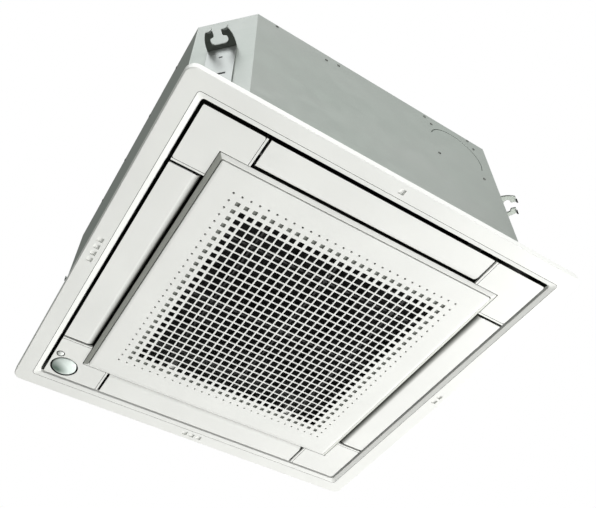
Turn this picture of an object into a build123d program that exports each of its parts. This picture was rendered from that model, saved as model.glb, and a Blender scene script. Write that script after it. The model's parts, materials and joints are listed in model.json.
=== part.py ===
from build123d import *
import math
import os

# A four-way ceiling cassette: a square panel flush with the ceiling and a steel casing above it.
# Millimetres. Z points up and Z = 0 is the ceiling's lower face, under which the rim stands down.
# Sides are numbered 0 to 3 for +X (right), +Y (front), -X (left) and -Y (rear).
# Corner k lies between side k and side k + 1. U runs outward from the middle of a side, V along it.

side_names = ["right", "front", "left", "rear"]

# ---- panel rim
panel_half = 310.0          # half the panel's side
rim_depth = 10.5            # how far the rim stands down from the ceiling
rim_skin = 3.0              # thickness of the rim's lower face
rim_corner_r = 14.0
rim_edge_r = 1.5            # rounding of the rim's lower edge
panel_wall = 2.5            # moulded wall of the panel
bevel_half = 285.3          # half-width of the opening at the rim's face
bevel_width = 7.1
bevel_depth = 2.2
bevel_corner_r = 4.5
seam_width = 0.6            # fine groove between the rim's face and the bevel
seam_depth = 1.0
lip_width = 6.8             # rounded lip behind the bevel that turns the air outward
lip_rise = 16.0
lip_back = 16.0
panel_height = 44.0         # from the rim's face to the top of the panel's ducts
rim_rib = 2.0
rim_rib_pitch = 93.0
rim_rib_count = 7
mark_side = 8.2             # small square recesses that number the four outlets
mark_depth = 1.8
mark_pitch = 13.1
mark_line = 296.8           # distance of the marks from the middle
mark_counts = [2, 3, 4, 1]  # for sides 0 to 3

# ---- air flaps
face_recess = 1.3           # flaps and corner covers lie this far inside the rim's face
flap_gap = 5.8              # slot between the bevel and the flap
flap_half_len = 179.3
flap_width = 33.9           # flat part of the flap
flap_skin = 1.8
flap_curl = 11.0            # rounded inner edge, a quarter of an ellipse
flap_curl_rise = 7.5
flap_pivot_in = 6.5         # pivot inward from the flat part's edge
flap_pivot_rise = 6.2       # pivot above the flap's lower face
flap_pin_r = 2.0
flap_arm_r = 4.0
flap_arm_thick = 3.0
flap_arm_inset = 5.0
flap_corner_r = 2.0         # inner corners of a flap
flap_tip_r = 1.0
flap_rib = 1.4
flap_rib_height = 2.6
flap_rib_edge = 8.0         # stiffening ribs from the flap's edges
flap_rib_end = 8.0

# ---- walls between flaps and corner covers
rib_gap = 4.0               # flap end to rib
rib_thick = 3.0
rib_step = 20.0             # the rib is set back where it crosses the slot
cover_seam = 0.65
cover_skin = 2.0
cover_corner_r = 3.0
post_r = 3.0
post_near = 200.0           # places of the two posts on a corner cover
post_far = 265.0
deck_z = 22.0               # underside of the frame's corner deck
deck_thick = 2.5
bolt_place = 245.0          # panel bolts lie on the diagonals
bolt_r = 2.5
bolt_head_r = 5.5
bolt_head = 4.0
bolt_length = 26.0

# ---- flap motors
motor_r = 12.0
motor_thick = 15.0
motor_play = 0.3            # from the rib to the motor
motor_shift_u = 4.5         # motor's centre from its own output shaft
motor_shift_z = 8.5
motor_boss_r = 4.0
motor_bore_depth = 8.0
motor_ear = 7.0
motor_ear_thick = 1.2
motor_ear_half = 4.0
motor_ear_hole_r = 1.6

# ---- sensor corner
lens_x = -248.0
lens_y = 247.0
lens_r = 19.5
lens_sag = 3.6
lens_depth = 8.0
bezel_width = 1.8
bezel_sunk = 1.6            # the ring lies this deep round the lens
receiver_x = -263.0
receiver_y = 221.5
receiver_r = 6.4            # hole in the cover
window_r = 5.3              # domed window in it
window_sag = 1.0
window_sunk = 1.4
window_height = 3.5

# ---- intake grille
grille_half = 225.3
grille_slope = 7.3
grille_drop = 2.45          # grille face below the rim's face
grille_step = 1.2           # the face stands this far out of the slope round it
grille_seam = 0.9           # groove round the face
grille_seam_depth = 0.8
grille_edge = 1.0
grille_plate = 2.5
grille_border = 12.3        # solid border round the thinner plate
grille_corner_r = 2.5
grille_gap = 1.0
hole_pitch = 13.05
hole_count = 25             # through holes along each side of the pattern
hole_side = 10.7
hole_edge_side = 8.3        # the outermost through holes are smaller
blind_side = 6.4            # shallow recesses round the holes
blind_depth = 1.8
dot_r = 1.5                 # and small round holes round those
intake_half = 219.5         # clear half-width of the panel's intake duct
intake_foot = 0.0           # lowest level of the intake duct's wall

# ---- grille hinge and latches
hinge_y = -219.0
hinge_z = -6.5
hinge_x = 150.0
hinge_pin_r = 1.6
hinge_eye_r = 2.6
hinge_lug = 6.0             # width of the frame's lug
hinge_ear = 3.0
hinge_side_gap = 0.5
latch_x = 104.4
latch_width = 10.0
latch_thick = 2.6
latch_z = -5.0              # underside of the latch bar
latch_start = 150.0         # inner end of the bar, over a hole of the pattern
latch_knob = 12.0
latch_gap = 0.3
latch_travel = 6.0
guide_wall = 2.0
guide_start = 180.0
guide_block = 6.0
spring_length = 20.0
spring_r = 1.8
spring_wire = 0.25
spring_turns = 8

# ---- filter
filter_half = 176.0
filter_bar = 8.0
filter_rib = 3.0
filter_depth = 4.0
filter_cells = 6
filter_mesh_thick = 0.4

# ---- casing
casing_half = 290.0
casing_bottom = 36.0
casing_top = 301.5
sheet = 1.0
sheet_gap = 0.1
corner_leg = 67.0           # chamfer of three corners
sensor_leg_y = 40.0         # the corner over the sensor has an uneven chamfer
sensor_leg_x = 110.0
flange_width = 8.0
tab_place = 232.0           # corner tabs of the flange, which the panel bolts pass
top_flange = 15.0
bead_r = 140.0
bead_width = 5.0
bead_depth = 0.5
knockout_x = 149.4          # round knock-out for a fresh-air duct, part of its outline pressed
knockout_z = 230.0
knockout_r = 51.5
knockout_groove = 1.6
knockout_tilt = 19.0        # turn of the pressed half about the knock-out's middle
knockout_screws = 90.5      # square of screws round the knock-out
screw_shift_x = 1.5
screw_shift_z = 2.2
side_screw_z = 294.0
side_screw_pitch = 100.0
loose_screws = [(-189.5, 296.0), (-100.0, 281.5), (-77.0, 288.5), (94.0, 291.0), (187.5, 297.0)]
screw_head_r = 2.6
screw_head = 1.0
screw_r = 1.5
screw_gap = 0.05

# ---- hanger brackets
hanger_pitch = 533.0        # suspension bolts, centre to centre
hanger_width = 43.0
hanger_tip_width = 36.0
hanger_reach = 30.0
hanger_sheet = 3.0
hanger_z = 195.5            # top of the hook plate
hanger_foot = 60.0
hook_slot_length = 26.0
hook_slot_width = 12.4
hook_mouth = 13.0
hook_lip = 5.0
hook_lip_width = 6.0
hook_taper = 10.0           # the plate narrows over this length to its tip
hook_corner_r = 3.0
hook_root = 12.0            # the plate starts this far inside the casing's wall line
leg_slots = [(-3.5, 3.5, 168.5, 171.0), (-9.0, 6.0, 115.0, 118.0)]  # across and height

# ---- insulation and drain pan
insulation_inset = 2.5
insulation_thick = 9.0
insulation_top = 11.0
pan_top = 72.0
pan_shelf = 50.0
pan_floor = 60.0
pan_inner = 158.0
trough_inner = 170.0
trough_corner_r = 40.0
pan_corner_r = 30.0
trough_outer = 221.0
outlet_inner = 226.0
outlet_outer = 278.0
outlet_half = 182.0
sump_near = 190.0
sump_far = 252.0
plug_place = 200.0
plug_r = 7.0
plug_head_r = 10.0
plug_head = 4.0

# ---- heat exchanger
coil_outer = 214.0
coil_depth = 36.0
coil_corner_r = 74.0
coil_top = 289.0
coil_end = 150.0            # where the coil stops on both sides of its open corner
end_plate = 2.0
tube_r = 3.5
tube_rows = 5
bend_r = 10.5
row_offset = 10.0           # the two tube rows from the coil's middle
gas_r = 6.35
gas_z = 120.0
gas_y = 182.0
gas_header_r = 8.0
liquid_r = 3.175
liquid_z = 170.0
liquid_header_x = 172.0
liquid_header_r = 5.0
header_low = 84.0
header_high = 270.0
feeder_r = 2.5
pipe_reach = 318.0
nut_length = 22.0
gas_nut_r = 15.0
gas_thread_r = 9.5
liquid_nut_r = 9.8
liquid_thread_r = 5.5
nut_back = 5.0              # plain bore of a nut round its pipe
nut_thread = 11.5           # threaded bore from the nut's outer end
nut_relief = 0.5            # the chamber round the flare is this much smaller than the thread
flare_length = 4.0
pipe_plate_thick = 2.0
pipe_clear = 0.6

# ---- fan
motor_body_r = 55.0
motor_low = 170.0
motor_high = 290.0
shaft_r = 5.0
shaft_low = 136.0
shaft_in = 30.0
rubber_count = 3
rubber_r = 9.0
rubber_place = 68.0
motor_lug = 10.0
fan_r = 150.0
hub_z = 225.0
hub_skin = 2.5
bowl_r = 75.0
bowl_low = 150.0
boss_r = 12.0
boss_low = 144.0
blade_count = 7
blade_thick = 2.5
blade_inner_r = 96.0
shroud_r = 118.0
shroud_z = 90.0
shroud_rise = 26.0
shroud_skin = 2.0
fit_gap = 0.05
bell_plate_half = 175.0
bell_plate = 3.0
bell_mouth_r = 137.0
bell_throat_r = 112.0
bell_throat_z = 94.0
bell_skin = 2.0

# ---- drain pump and float
pump_x = 225.0
pump_y = 225.0
pump_r = 20.0
pump_low = 100.0
pump_cavity_r = 16.0
pump_cavity_low = 106.0
pump_cavity_high = 132.0
pump_high = 186.0
pump_pipe_r = 8.0
impeller_r = 14.0
impeller_thick = 3.0
impeller_shaft_r = 2.0
impeller_shaft = 26.0
impeller_vanes = 6
hose_r = 10.0
hose_bore = 8.0
hose_x = 175.0
hose_z = 118.0
spout = 8.0
spout_wall = 2.0
drain_z = 200.0
hose_bend_r = 20.0
drain_r = 13.0
drain_bore = 10.0
drain_start = 276.0
drain_reach = 335.0
float_x = 240.0
float_y = 200.0
float_r = 9.0
float_height = 12.0
float_low = 64.0
float_travel = 8.0
stem_r = 3.0
stem_high = 104.0
stem_collar_r = 5.0

# ---- control box
box_x = 150.0
box_near = 143.0
box_far = 213.0
box_low = 14.0
box_sheet = 1.0
board_thick = 1.6
board_gap = 6.0
board_reach = 135.0
gland_z = 30.0
gland_r = 9.0
gland_length = 12.0
gland_bore = 4.0
thermistor_r = 2.5
thermistor_length = 24.0

# ---- levels and lines that follow from the sizes above
rim_z = -rim_depth
bevel_top = rim_z + bevel_depth
face_z = rim_z + face_recess
panel_top = rim_z + panel_height
bevel_inner = bevel_half - bevel_width
flap_outer = bevel_inner - flap_gap
flap_inner = flap_outer - flap_width
curl_end = flap_inner - flap_curl
pivot_u = flap_inner - flap_pivot_in
pivot_z = face_z + flap_pivot_rise
rib_in = flap_half_len + rib_gap
rib_out = rib_in + rib_thick
cover_in = rib_out + cover_seam
cover_top = face_z + cover_skin
grille_face = rim_z - grille_drop
grille_top = face_z + grille_edge
grille_back = grille_face + grille_plate
notch_half = grille_half + grille_gap
pocket_half = grille_half - grille_border
intake_outer = intake_half + panel_wall
latch_end = intake_half - latch_gap
wall_distance = (2 * casing_half - corner_leg) / math.sqrt(2)
hook_distance = hanger_pitch / math.sqrt(2)
coil_inner = coil_outer - coil_depth
coil_middle = coil_outer - coil_depth / 2
bell_plate_z = pan_shelf - bell_plate
box_middle = (box_near + box_far) / 2


# ---- helpers
def block(x0, x1, y0, y1, z0, z1):
    return Pos((x0 + x1) / 2, (y0 + y1) / 2, (z0 + z1) / 2) * Box(x1 - x0, y1 - y0, z1 - z0)


def rod(x, y, z0, z1, r):
    return Pos(x, y, (z0 + z1) / 2) * Cylinder(r, z1 - z0)


def rod_x(x0, x1, y, z, r):
    return Pos((x0 + x1) / 2, y, z) * Rot(0, 90, 0) * Cylinder(r, x1 - x0)


def rod_y(x, y0, y1, z, r):
    return Pos(x, (y0 + y1) / 2, z) * Rot(90, 0, 0) * Cylinder(r, y1 - y0)


def square(half, corner_r=0.0):
    if corner_r > 0:
        return RectangleRounded(2 * half, 2 * half, corner_r)
    return Rectangle(2 * half, 2 * half)


def prism(sketch, z0, z1):
    return Pos(0, 0, z0) * extrude(sketch, z1 - z0)


def square_ring(outer, inner, z0, z1, outer_r=0.0, inner_r=0.0):
    return prism(square(outer, outer_r) - square(inner, inner_r), z0, z1)


def frustum(half_low, half_high, z_low, z_high, corner_r):
    return loft([Pos(0, 0, z_low) * square(half_low, corner_r),
                 Pos(0, 0, z_high) * square(half_high, corner_r)])


def turned(part, k):
    return Rot(0, 0, 90 * k) * part


def revolved(points):
    profile = make_face(Polyline(*[(r, 0, z) for r, z in points], close=True))
    return revolve(profile, Axis.Z)


def casing_outline(inset=0.0):
    c, leg = casing_half, casing_half - corner_leg
    points = [(-c, -leg), (-leg, -c), (leg, -c), (c, -leg), (c, leg), (leg, c),
              (sensor_leg_x - c, c), (-c, c - sensor_leg_y)]
    face = make_face(Polyline(*points, close=True))
    if inset == 0:
        return face
    return offset(face, -inset, kind=Kind.INTERSECTION)


# ---- panel
def rim():
    skin_top = rim_z + rim_skin
    body = prism(square(panel_half, rim_corner_r), rim_z, 0)
    body = fillet(body.edges().group_by(Axis.Z)[0], rim_edge_r)
    body -= prism(square(panel_half - panel_wall, rim_corner_r - panel_wall), skin_top, 0)
    body -= prism(square(bevel_half, bevel_corner_r), rim_z, skin_top)
    collar = prism(square(bevel_half + panel_wall, bevel_corner_r + panel_wall), rim_z, bevel_top + rim_skin)
    collar -= frustum(bevel_half, bevel_inner, rim_z, bevel_top, bevel_corner_r)
    collar -= prism(square(bevel_inner, bevel_corner_r), bevel_top, bevel_top + rim_skin)
    body += collar
    body += square_ring(bevel_inner + panel_wall, bevel_inner, bevel_top, panel_top,
                        bevel_corner_r + panel_wall, bevel_corner_r)
    body += outlet_lip()
    body -= square_ring(bevel_half + seam_width, bevel_half, rim_z, rim_z + seam_depth,
                        bevel_corner_r + seam_width, bevel_corner_r)
    rib_end = (panel_half - panel_wall + bevel_half) / 2
    for k in range(4):
        for n in range(rim_rib_count):
            place = (n - (rim_rib_count - 1) / 2) * rim_rib_pitch
            body += turned(block(bevel_half + seam_width, rib_end, place - rim_rib / 2, place + rim_rib / 2,
                                 rim_z + rim_skin / 2, -rim_rib / 2), k)
        first = -(mark_counts[k] - 1) / 2
        for n in range(mark_counts[k]):
            place = (first + n) * mark_pitch
            body -= turned(block(mark_line - mark_side / 2, mark_line + mark_side / 2,
                                 place - mark_side / 2, place + mark_side / 2,
                                 rim_z, rim_z + mark_depth), k)
    return body


def outlet_lip():
    crest = bevel_top + lip_rise
    lip = prism(square(bevel_inner + panel_wall / 2, bevel_corner_r), bevel_top, crest + lip_back)
    lip -= frustum(bevel_inner, bevel_inner - lip_width, bevel_top, crest, bevel_corner_r)
    return lip - frustum(bevel_inner - lip_width, bevel_inner, crest, crest + lip_back, bevel_corner_r)


def frame_side():
    parts = []
    for s in (-1, 1):
        v0, v1 = sorted((s * rib_in, s * rib_out))
        parts.append(block(notch_half, flap_outer, v0, v1, face_z, panel_top))
        parts.append(block(flap_outer - 1, bevel_inner + 1, v0, v1, face_z + rib_step, panel_top))
        parts.append(block(intake_half + 1, notch_half + 1, v0, v1, intake_foot, panel_top))
    return parts


def corner_deck():
    deck = block(rib_out - 1, bevel_inner + 1, rib_out - 1, bevel_inner + 1, deck_z, deck_z + deck_thick)
    deck -= block(0, intake_half + 1, 0, intake_half + 1, deck_z, deck_z + deck_thick)
    return deck - rod(bolt_place, bolt_place, deck_z, deck_z + deck_thick, bolt_r + 0.4)


def panel_frame():
    body = rim()
    body += square_ring(intake_outer, intake_half, intake_foot, panel_top)
    for k in range(4):
        for piece in frame_side():
            body += turned(piece, k)
        body += turned(corner_deck(), k)
    pin_hole = rod_y(pivot_u, -rib_out - 2, rib_out + 2, pivot_z, flap_pin_r + fit_gap)
    for k in range(4):
        body -= turned(pin_hole, k)
    for x in (-hinge_x, hinge_x):
        lug = block(x - hinge_lug / 2, x + hinge_lug / 2, hinge_y - hinge_eye_r, hinge_y + hinge_eye_r,
                    hinge_z, intake_foot + 3)
        lug += rod_x(x - hinge_lug / 2, x + hinge_lug / 2, hinge_y, hinge_z, hinge_eye_r)
        body += lug - rod_x(x - hinge_lug, x + hinge_lug, hinge_y, hinge_z, hinge_pin_r + fit_gap)
    for x in (-latch_x, latch_x):
        half = latch_width / 2
        keeper = block(x - half - 5, x + half + 5, intake_half, intake_outer,
                       grille_top + 0.6, intake_foot + 1)
        window = block(x - half - 1, x + half + 1, intake_half - 1, intake_outer + 1,
                       latch_z - 0.6, latch_z + latch_thick + 0.6)
        body += keeper - window
    return body


def flap_outline():
    outline = Pos((curl_end + flap_outer) / 2, 0) * Rectangle(flap_outer - curl_end, 2 * flap_half_len)
    outline = fillet(outline.vertices().group_by(Axis.X)[0], flap_corner_r)
    return fillet(outline.vertices().group_by(Axis.X)[-1], flap_tip_r)


def louver():
    body = block(flap_inner, flap_outer, -flap_half_len, flap_half_len, face_z, face_z + flap_skin)
    curl_z = face_z + flap_curl_rise
    section = Ellipse(flap_curl, flap_curl_rise) - Ellipse(flap_curl - flap_skin, flap_curl_rise - flap_skin)
    curl = Pos(flap_inner, 0, curl_z) * Rot(90, 0, 0) * extrude(section, flap_half_len, both=True)
    body += curl & block(curl_end, flap_inner, -flap_half_len, flap_half_len, face_z, curl_z)
    body &= prism(flap_outline(), face_z, curl_z)
    for u in (flap_inner + flap_rib_edge, flap_outer - flap_rib_edge):
        body += block(u, u + flap_rib, -flap_half_len + flap_rib_end, flap_half_len - flap_rib_end,
                      face_z + 1, face_z + flap_skin + flap_rib_height)
    arm_end = flap_half_len - flap_arm_inset
    for s in (-1, 1):
        v0, v1 = sorted((s * (arm_end - flap_arm_thick), s * arm_end))
        body += rod_y(pivot_u, v0, v1, pivot_z, flap_arm_r)
        body += block(pivot_u + 0.5, pivot_u + 2 * flap_arm_r, v0, v1, face_z + 1, pivot_z)
    body += rod_y(pivot_u, -rib_out + 1, -arm_end + 1, pivot_z, flap_pin_r)
    shaft_end = rib_out + motor_bore_depth - 1
    return body + rod_y(pivot_u, arm_end - 1, shaft_end, pivot_z, flap_pin_r)


def louver_motor():
    v = rib_out + motor_play
    centre_u, centre_z = pivot_u + motor_shift_u, pivot_z + motor_shift_z
    body = rod_y(centre_u, v, v + motor_thick, centre_z, motor_r)
    body += rod_y(pivot_u, v, v + motor_bore_depth + 1, pivot_z, motor_boss_r)
    body += block(centre_u, centre_u + motor_r + motor_ear, v, v + motor_ear_thick,
                  centre_z - motor_ear_half, centre_z + motor_ear_half)
    body -= rod_y(centre_u + motor_r + motor_ear / 2, v - 1, v + 2, centre_z, motor_ear_hole_r)
    return body - rod_y(pivot_u, v - 1, v + motor_bore_depth, pivot_z, flap_pin_r + fit_gap)


def corner_cover():
    middle, side = (cover_in + flap_outer) / 2, flap_outer - cover_in
    plate = prism(Pos(middle, middle) * RectangleRounded(side, side, cover_corner_r), face_z, cover_top)
    plate -= block(0, notch_half, 0, notch_half, face_z - 1, cover_top + 1)
    for x, y in ((post_near, post_far), (post_far, post_near)):
        plate += rod(x, y, cover_top - 0.5, deck_z, post_r)
    return plate


def sensor_corner_cover():
    cover = turned(corner_cover(), 1)
    cover -= rod(lens_x, lens_y, face_z - 1, cover_top + 1, lens_r + bezel_width + fit_gap)
    return cover - rod(receiver_x, receiver_y, face_z - 1, cover_top + 1, receiver_r + fit_gap)


def sensor_bezel():
    low, high = face_z + bezel_sunk, face_z + lens_depth
    ring = rod(lens_x, lens_y, low, high, lens_r + bezel_width)
    return ring - rod(lens_x, lens_y, low - 1, high + 1, lens_r)


def sensor_lens():
    ball_r = (lens_r ** 2 + lens_sag ** 2) / (2 * lens_sag)
    dome = Pos(lens_x, lens_y, face_z - lens_sag + ball_r) * Sphere(ball_r)
    dome &= rod(lens_x, lens_y, face_z - lens_sag - 1, face_z, lens_r - fit_gap)
    return dome + rod(lens_x, lens_y, face_z - 0.01, face_z + lens_depth, lens_r - fit_gap)


def receiver_window():
    ball_r = (window_r ** 2 + window_sag ** 2) / (2 * window_sag)
    dome = Pos(receiver_x, receiver_y, face_z - window_sag + ball_r) * Sphere(ball_r)
    dome &= rod(receiver_x, receiver_y, face_z - window_sag - 1, face_z, window_r)
    button = dome + rod(receiver_x, receiver_y, face_z - 0.01, face_z + window_height, window_r)
    return button + rod(receiver_x, receiver_y, face_z + window_sunk, face_z + window_height, receiver_r)


def ceiling_seal():
    outer = panel_half - panel_wall - 0.5
    return square_ring(outer, outer - 8, rim_z + rim_skin, 0, rim_corner_r - panel_wall, 3)


def panel_seal():
    gasket = prism(square(casing_half - 4, 30) - square(intake_half), panel_top, casing_bottom)
    slot = block(intake_outer, bevel_inner, -rib_in, rib_in, panel_top - 1, casing_bottom + 1)
    for k in range(4):
        gasket -= turned(slot, k)
        gasket -= turned(rod(bolt_place, bolt_place, panel_top - 1, casing_bottom + 1, bolt_r + 0.5), k)
    return gasket & prism(casing_outline(3), panel_top, casing_bottom)


def panel_bolts():
    bolts = []
    for k in range(4):
        bolt = prism(Pos(bolt_place, bolt_place) * RegularPolygon(bolt_head_r, 6),
                     deck_z - bolt_head, deck_z)
        bolt += rod(bolt_place, bolt_place, deck_z - 1, deck_z + bolt_length, bolt_r)
        bolts.append(turned(bolt, k))
    return bolts


# ---- intake grille
def hole_places(ring):
    reach = (hole_count - 1) // 2 + ring
    steps = range(-reach, reach + 1)
    return [(i * hole_pitch, j * hole_pitch) for i in steps for j in steps
            if max(abs(i), abs(j)) == reach]


def perforated_plate(half):
    inner_places = [p for ring in range(-(hole_count - 1) // 2, 0) for p in hole_places(ring)]
    wires = [(Pos(*p) * Rectangle(hole_side, hole_side)).wire() for p in inner_places]
    wires += [(Pos(*p) * Rectangle(hole_edge_side, hole_edge_side)).wire() for p in hole_places(0)]
    return prism(Face(square(half).wire(), wires), grille_face, grille_back)


def intake_grille():
    window = hole_count / 2 * hole_pitch
    face_half = grille_half - grille_slope
    step_z = grille_face + grille_step
    shell = prism(square(face_half, grille_corner_r), grille_face, grille_top)
    shell += frustum(face_half + grille_seam, grille_half, step_z, face_z, grille_corner_r)
    shell += prism(square(grille_half, grille_corner_r), face_z, grille_top)
    shell -= square_ring(face_half + grille_seam, face_half, step_z, step_z + grille_seam_depth,
                         grille_corner_r, grille_corner_r)
    shell -= prism(square(pocket_half), grille_back, grille_top)
    shell -= prism(square(window), grille_face, grille_back)
    for x in (-hinge_x, hinge_x):
        shell -= block(x - hinge_lug / 2 - hinge_side_gap, x + hinge_lug / 2 + hinge_side_gap,
                       hinge_y - hinge_eye_r - 1.7, -pocket_half, hinge_z - hinge_eye_r - 0.4, grille_top)
        for s in (-1, 1):
            start = hinge_lug / 2 + hinge_side_gap
            x0, x1 = sorted((x + s * start, x + s * (start + hinge_ear)))
            ear = rod_x(x0, x1, hinge_y, hinge_z, hinge_eye_r)
            ear += block(x0, x1, hinge_y - hinge_eye_r, hinge_y + hinge_eye_r, grille_top - 0.5, hinge_z)
            shell += ear - rod_x(x0 - 1, x1 + 1, hinge_y, hinge_z, hinge_pin_r + 0.02)
    for x in (-latch_x, latch_x):
        shell += latch_guide(x)
    shell -= blind_marks()
    return shell + perforated_plate(window)


def latch_guide(x):
    half = latch_width / 2 + latch_gap
    top = latch_z + latch_thick + latch_gap
    guide = None
    for s in (-1, 1):
        x0, x1 = sorted((x + s * half, x + s * (half + guide_wall)))
        rail = block(x0, x1, guide_start, pocket_half + 0.5, grille_back - 0.5, top + 1.2)
        guide = rail if guide is None else guide + rail
    guide += block(x - half, x + half, guide_start, guide_start + guide_block,
                   grille_back - 0.5, latch_z - latch_gap)
    return guide + block(x - half - 1, x + half + 1, guide_start + 14, guide_start + 24, top, top + 1.2)


def blind_marks():
    marks = [Pos(*p, grille_face + blind_depth / 2) * Box(blind_side, blind_side, blind_depth)
             for p in hole_places(1)]
    marks += [rod(*p, grille_face, grille_back + 0.1, dot_r) for p in hole_places(2)]
    return marks


def hinge_pins():
    reach = hinge_lug / 2 + hinge_side_gap + hinge_ear + 1
    return [rod_x(x - reach, x + reach, hinge_y, hinge_z, hinge_pin_r) for x in (-hinge_x, hinge_x)]


def grille_latch(x):
    half = latch_width / 2
    spring_end = guide_start + guide_block + spring_length
    bar = block(x - half, x + half, latch_start, latch_end, latch_z, latch_z + latch_thick)
    bar += block(x - half, x + half, latch_start, latch_start + latch_knob, grille_back + 0.3, latch_z + 1)
    bar += block(x - half + 1, x + half - 1, spring_end, spring_end + 3, grille_back + 0.4, latch_z + 1)
    return bar


def latch_spring(x):
    turns = Helix(spring_length / spring_turns, spring_length - 4 * spring_wire, spring_r)
    start = turns @ 0
    wire = sweep(Plane(origin=start, z_dir=turns % 0) * Circle(spring_wire), path=turns, is_frenet=True)
    start_y = guide_start + guide_block + 2 * spring_wire
    centre_z = (grille_back + latch_z) / 2
    return Pos(x, start_y, centre_z) * Rot(-90, 0, 0) * wire


def air_filter():
    frame = square_ring(filter_half, filter_half - filter_bar, grille_back, grille_back + filter_depth, 4, 2)
    cell = 2 * filter_half / filter_cells
    for n in range(1, filter_cells):
        place = n * cell - filter_half
        frame += block(place - filter_rib / 2, place + filter_rib / 2, -filter_half + 2, filter_half - 2,
                       grille_back, grille_back + filter_depth)
        frame += block(-filter_half + 2, filter_half - 2, place - filter_rib / 2, place + filter_rib / 2,
                       grille_back, grille_back + filter_depth)
    for x in (-latch_x, latch_x):
        frame -= latch_notch(x, grille_back, grille_back + filter_depth)
    return frame


def latch_notch(x, z0, z1):
    half = latch_width / 2 + 3
    return block(x - half, x + half, latch_start - latch_travel - 2, filter_half + 1, z0 - 1, z1 + 1)


def filter_mesh():
    low = grille_back + filter_depth
    mesh = prism(square(filter_half - 2, 4), low, low + filter_mesh_thick)
    for x in (-latch_x, latch_x):
        mesh -= latch_notch(x, low, low + filter_mesh_thick)
    return mesh


# ---- casing
def casing_wall():
    wall = prism(casing_outline() - casing_outline(sheet), casing_bottom, casing_top)
    flange = prism(casing_outline(sheet / 2) - casing_outline(sheet + flange_width),
                   casing_bottom, casing_bottom + sheet)
    floor = prism(casing_outline(sheet / 2), casing_bottom, casing_bottom + sheet)
    for k in range(4):
        flange += floor & turned(corner_block(tab_place), k)
        flange -= turned(rod(bolt_place, bolt_place, casing_bottom - 1, casing_bottom + 2, bolt_r + 0.3), k)
    wall += flange
    wall -= screw_holes()
    wall -= knockout_cut()
    for k in range(4):
        turn, distance, shift = corner_wall(k)
        for slot in slot_blocks(distance, shift):
            wall -= Rot(0, 0, turn) * slot
    wall -= rod_x(casing_half - 2, casing_half + 1, gas_y, gas_z, gas_r + 2)
    wall -= rod_x(casing_half - 2, casing_half + 1, coil_middle, liquid_z, liquid_r + 2)
    return wall - rod_y(hose_x, casing_half - 2, casing_half + 1, drain_z, drain_r + 0.3)


def corner_block(place):
    return block(place, casing_half, place, casing_half, casing_bottom - 1, casing_bottom + sheet + 1)


def screw_holes():
    return [turned(rod_x(casing_half - 4, casing_half + 1, v, z, screw_r + screw_gap), k)
            for k in range(4) for v, z in screw_places(k)]


def knockout_cut():
    groove = rod_y(knockout_x, -casing_half - 1, -casing_half + sheet / 2, knockout_z,
                   knockout_r + knockout_groove / 2)
    groove -= rod_y(knockout_x, -casing_half - 1, -casing_half + sheet / 2, knockout_z,
                    knockout_r - knockout_groove / 2)
    upper = block(-2 * knockout_r, 2 * knockout_r, -casing_half - 2, -casing_half + 2, 0, 2 * knockout_r)
    return groove & (Pos(knockout_x, 0, knockout_z) * Rot(0, knockout_tilt, 0) * upper)


def screw_places(k):
    if k < 3:
        return [(n * side_screw_pitch, side_screw_z) for n in (-1.5, -0.5, 0.5, 1.5)]
    half = knockout_screws / 2
    middle = (knockout_x + screw_shift_x, knockout_z + screw_shift_z)
    return [(middle[0] + a * half, middle[1] + b * half) for a in (-1, 1) for b in (-1, 1)] + loose_screws


def casing_wraps():
    wall = casing_wall()
    seam_x, seam_y = sensor_leg_x - casing_half + 8, -casing_half + corner_leg + 8
    reach = casing_half + 1
    right = wall & block(seam_x + sheet_gap, reach, seam_y + sheet_gap, reach, casing_bottom, casing_top)
    left = wall - block(seam_x - sheet_gap, reach, seam_y - sheet_gap, reach, casing_bottom, casing_top)
    return left, right


def top_plate():
    inset = sheet + sheet_gap
    plate = prism(casing_outline(inset), casing_top - sheet, casing_top)
    plate += prism(casing_outline(inset) - casing_outline(inset + sheet),
                   casing_top - top_flange, casing_top - sheet / 2)
    bead = rod(0, 0, casing_top - bead_depth, casing_top + 1, bead_r)
    plate -= bead - rod(0, 0, casing_top - 2, casing_top + 2, bead_r - bead_width)
    for n in range(8):
        groove = block(bead_r + 12, bead_r + 90, -bead_width / 2, bead_width / 2,
                       casing_top - bead_depth, casing_top + 1)
        plate -= Rot(0, 0, 45 * n) * groove
    return plate - screw_holes()


def casing_screws():
    screws = []
    for k in range(4):
        for v, z in screw_places(k):
            head = rod_x(casing_half, casing_half + screw_head, v, z, screw_head_r)
            shank = rod_x(casing_half - insulation_inset + 0.1, casing_half + 0.5, v, z, screw_r)
            screws.append(turned(head + shank, k))
    return screws


def hook_plate():
    start, tip = wall_distance - hook_root, wall_distance + hanger_reach
    wide, narrow = hanger_width / 2, hanger_tip_width / 2
    outline = make_face(Polyline((start, -wide), (tip - hook_taper, -wide), (tip, -narrow), (tip, narrow),
                                 (tip - hook_taper, wide), (start, wide), close=True))
    outline = fillet(outline.vertices().group_by(Axis.X)[-1], hook_corner_r)
    outline -= Pos(hook_distance, 0) * Rot(0, 0, 90) * SlotOverall(hook_slot_length, hook_slot_width)
    outline -= Pos(hook_distance + hanger_reach / 2, 0) * Rectangle(hanger_reach, hook_mouth)
    plate = prism(outline, hanger_z - hanger_sheet, hanger_z)
    for s in (-1, 1):
        y0, y1 = sorted((s * hook_mouth / 2, s * (hook_mouth / 2 + hook_lip_width)))
        plate += block(tip - hanger_sheet, tip, y0, y1, hanger_z - 1, hanger_z + hook_lip)
    return plate


def hanger_leg(distance, shift):
    leg = block(distance, distance + hanger_sheet, shift - hanger_width / 2, shift + hanger_width / 2,
                hanger_foot, hanger_z)
    for slot in slot_blocks(distance, shift):
        leg -= slot
    return leg


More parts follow.
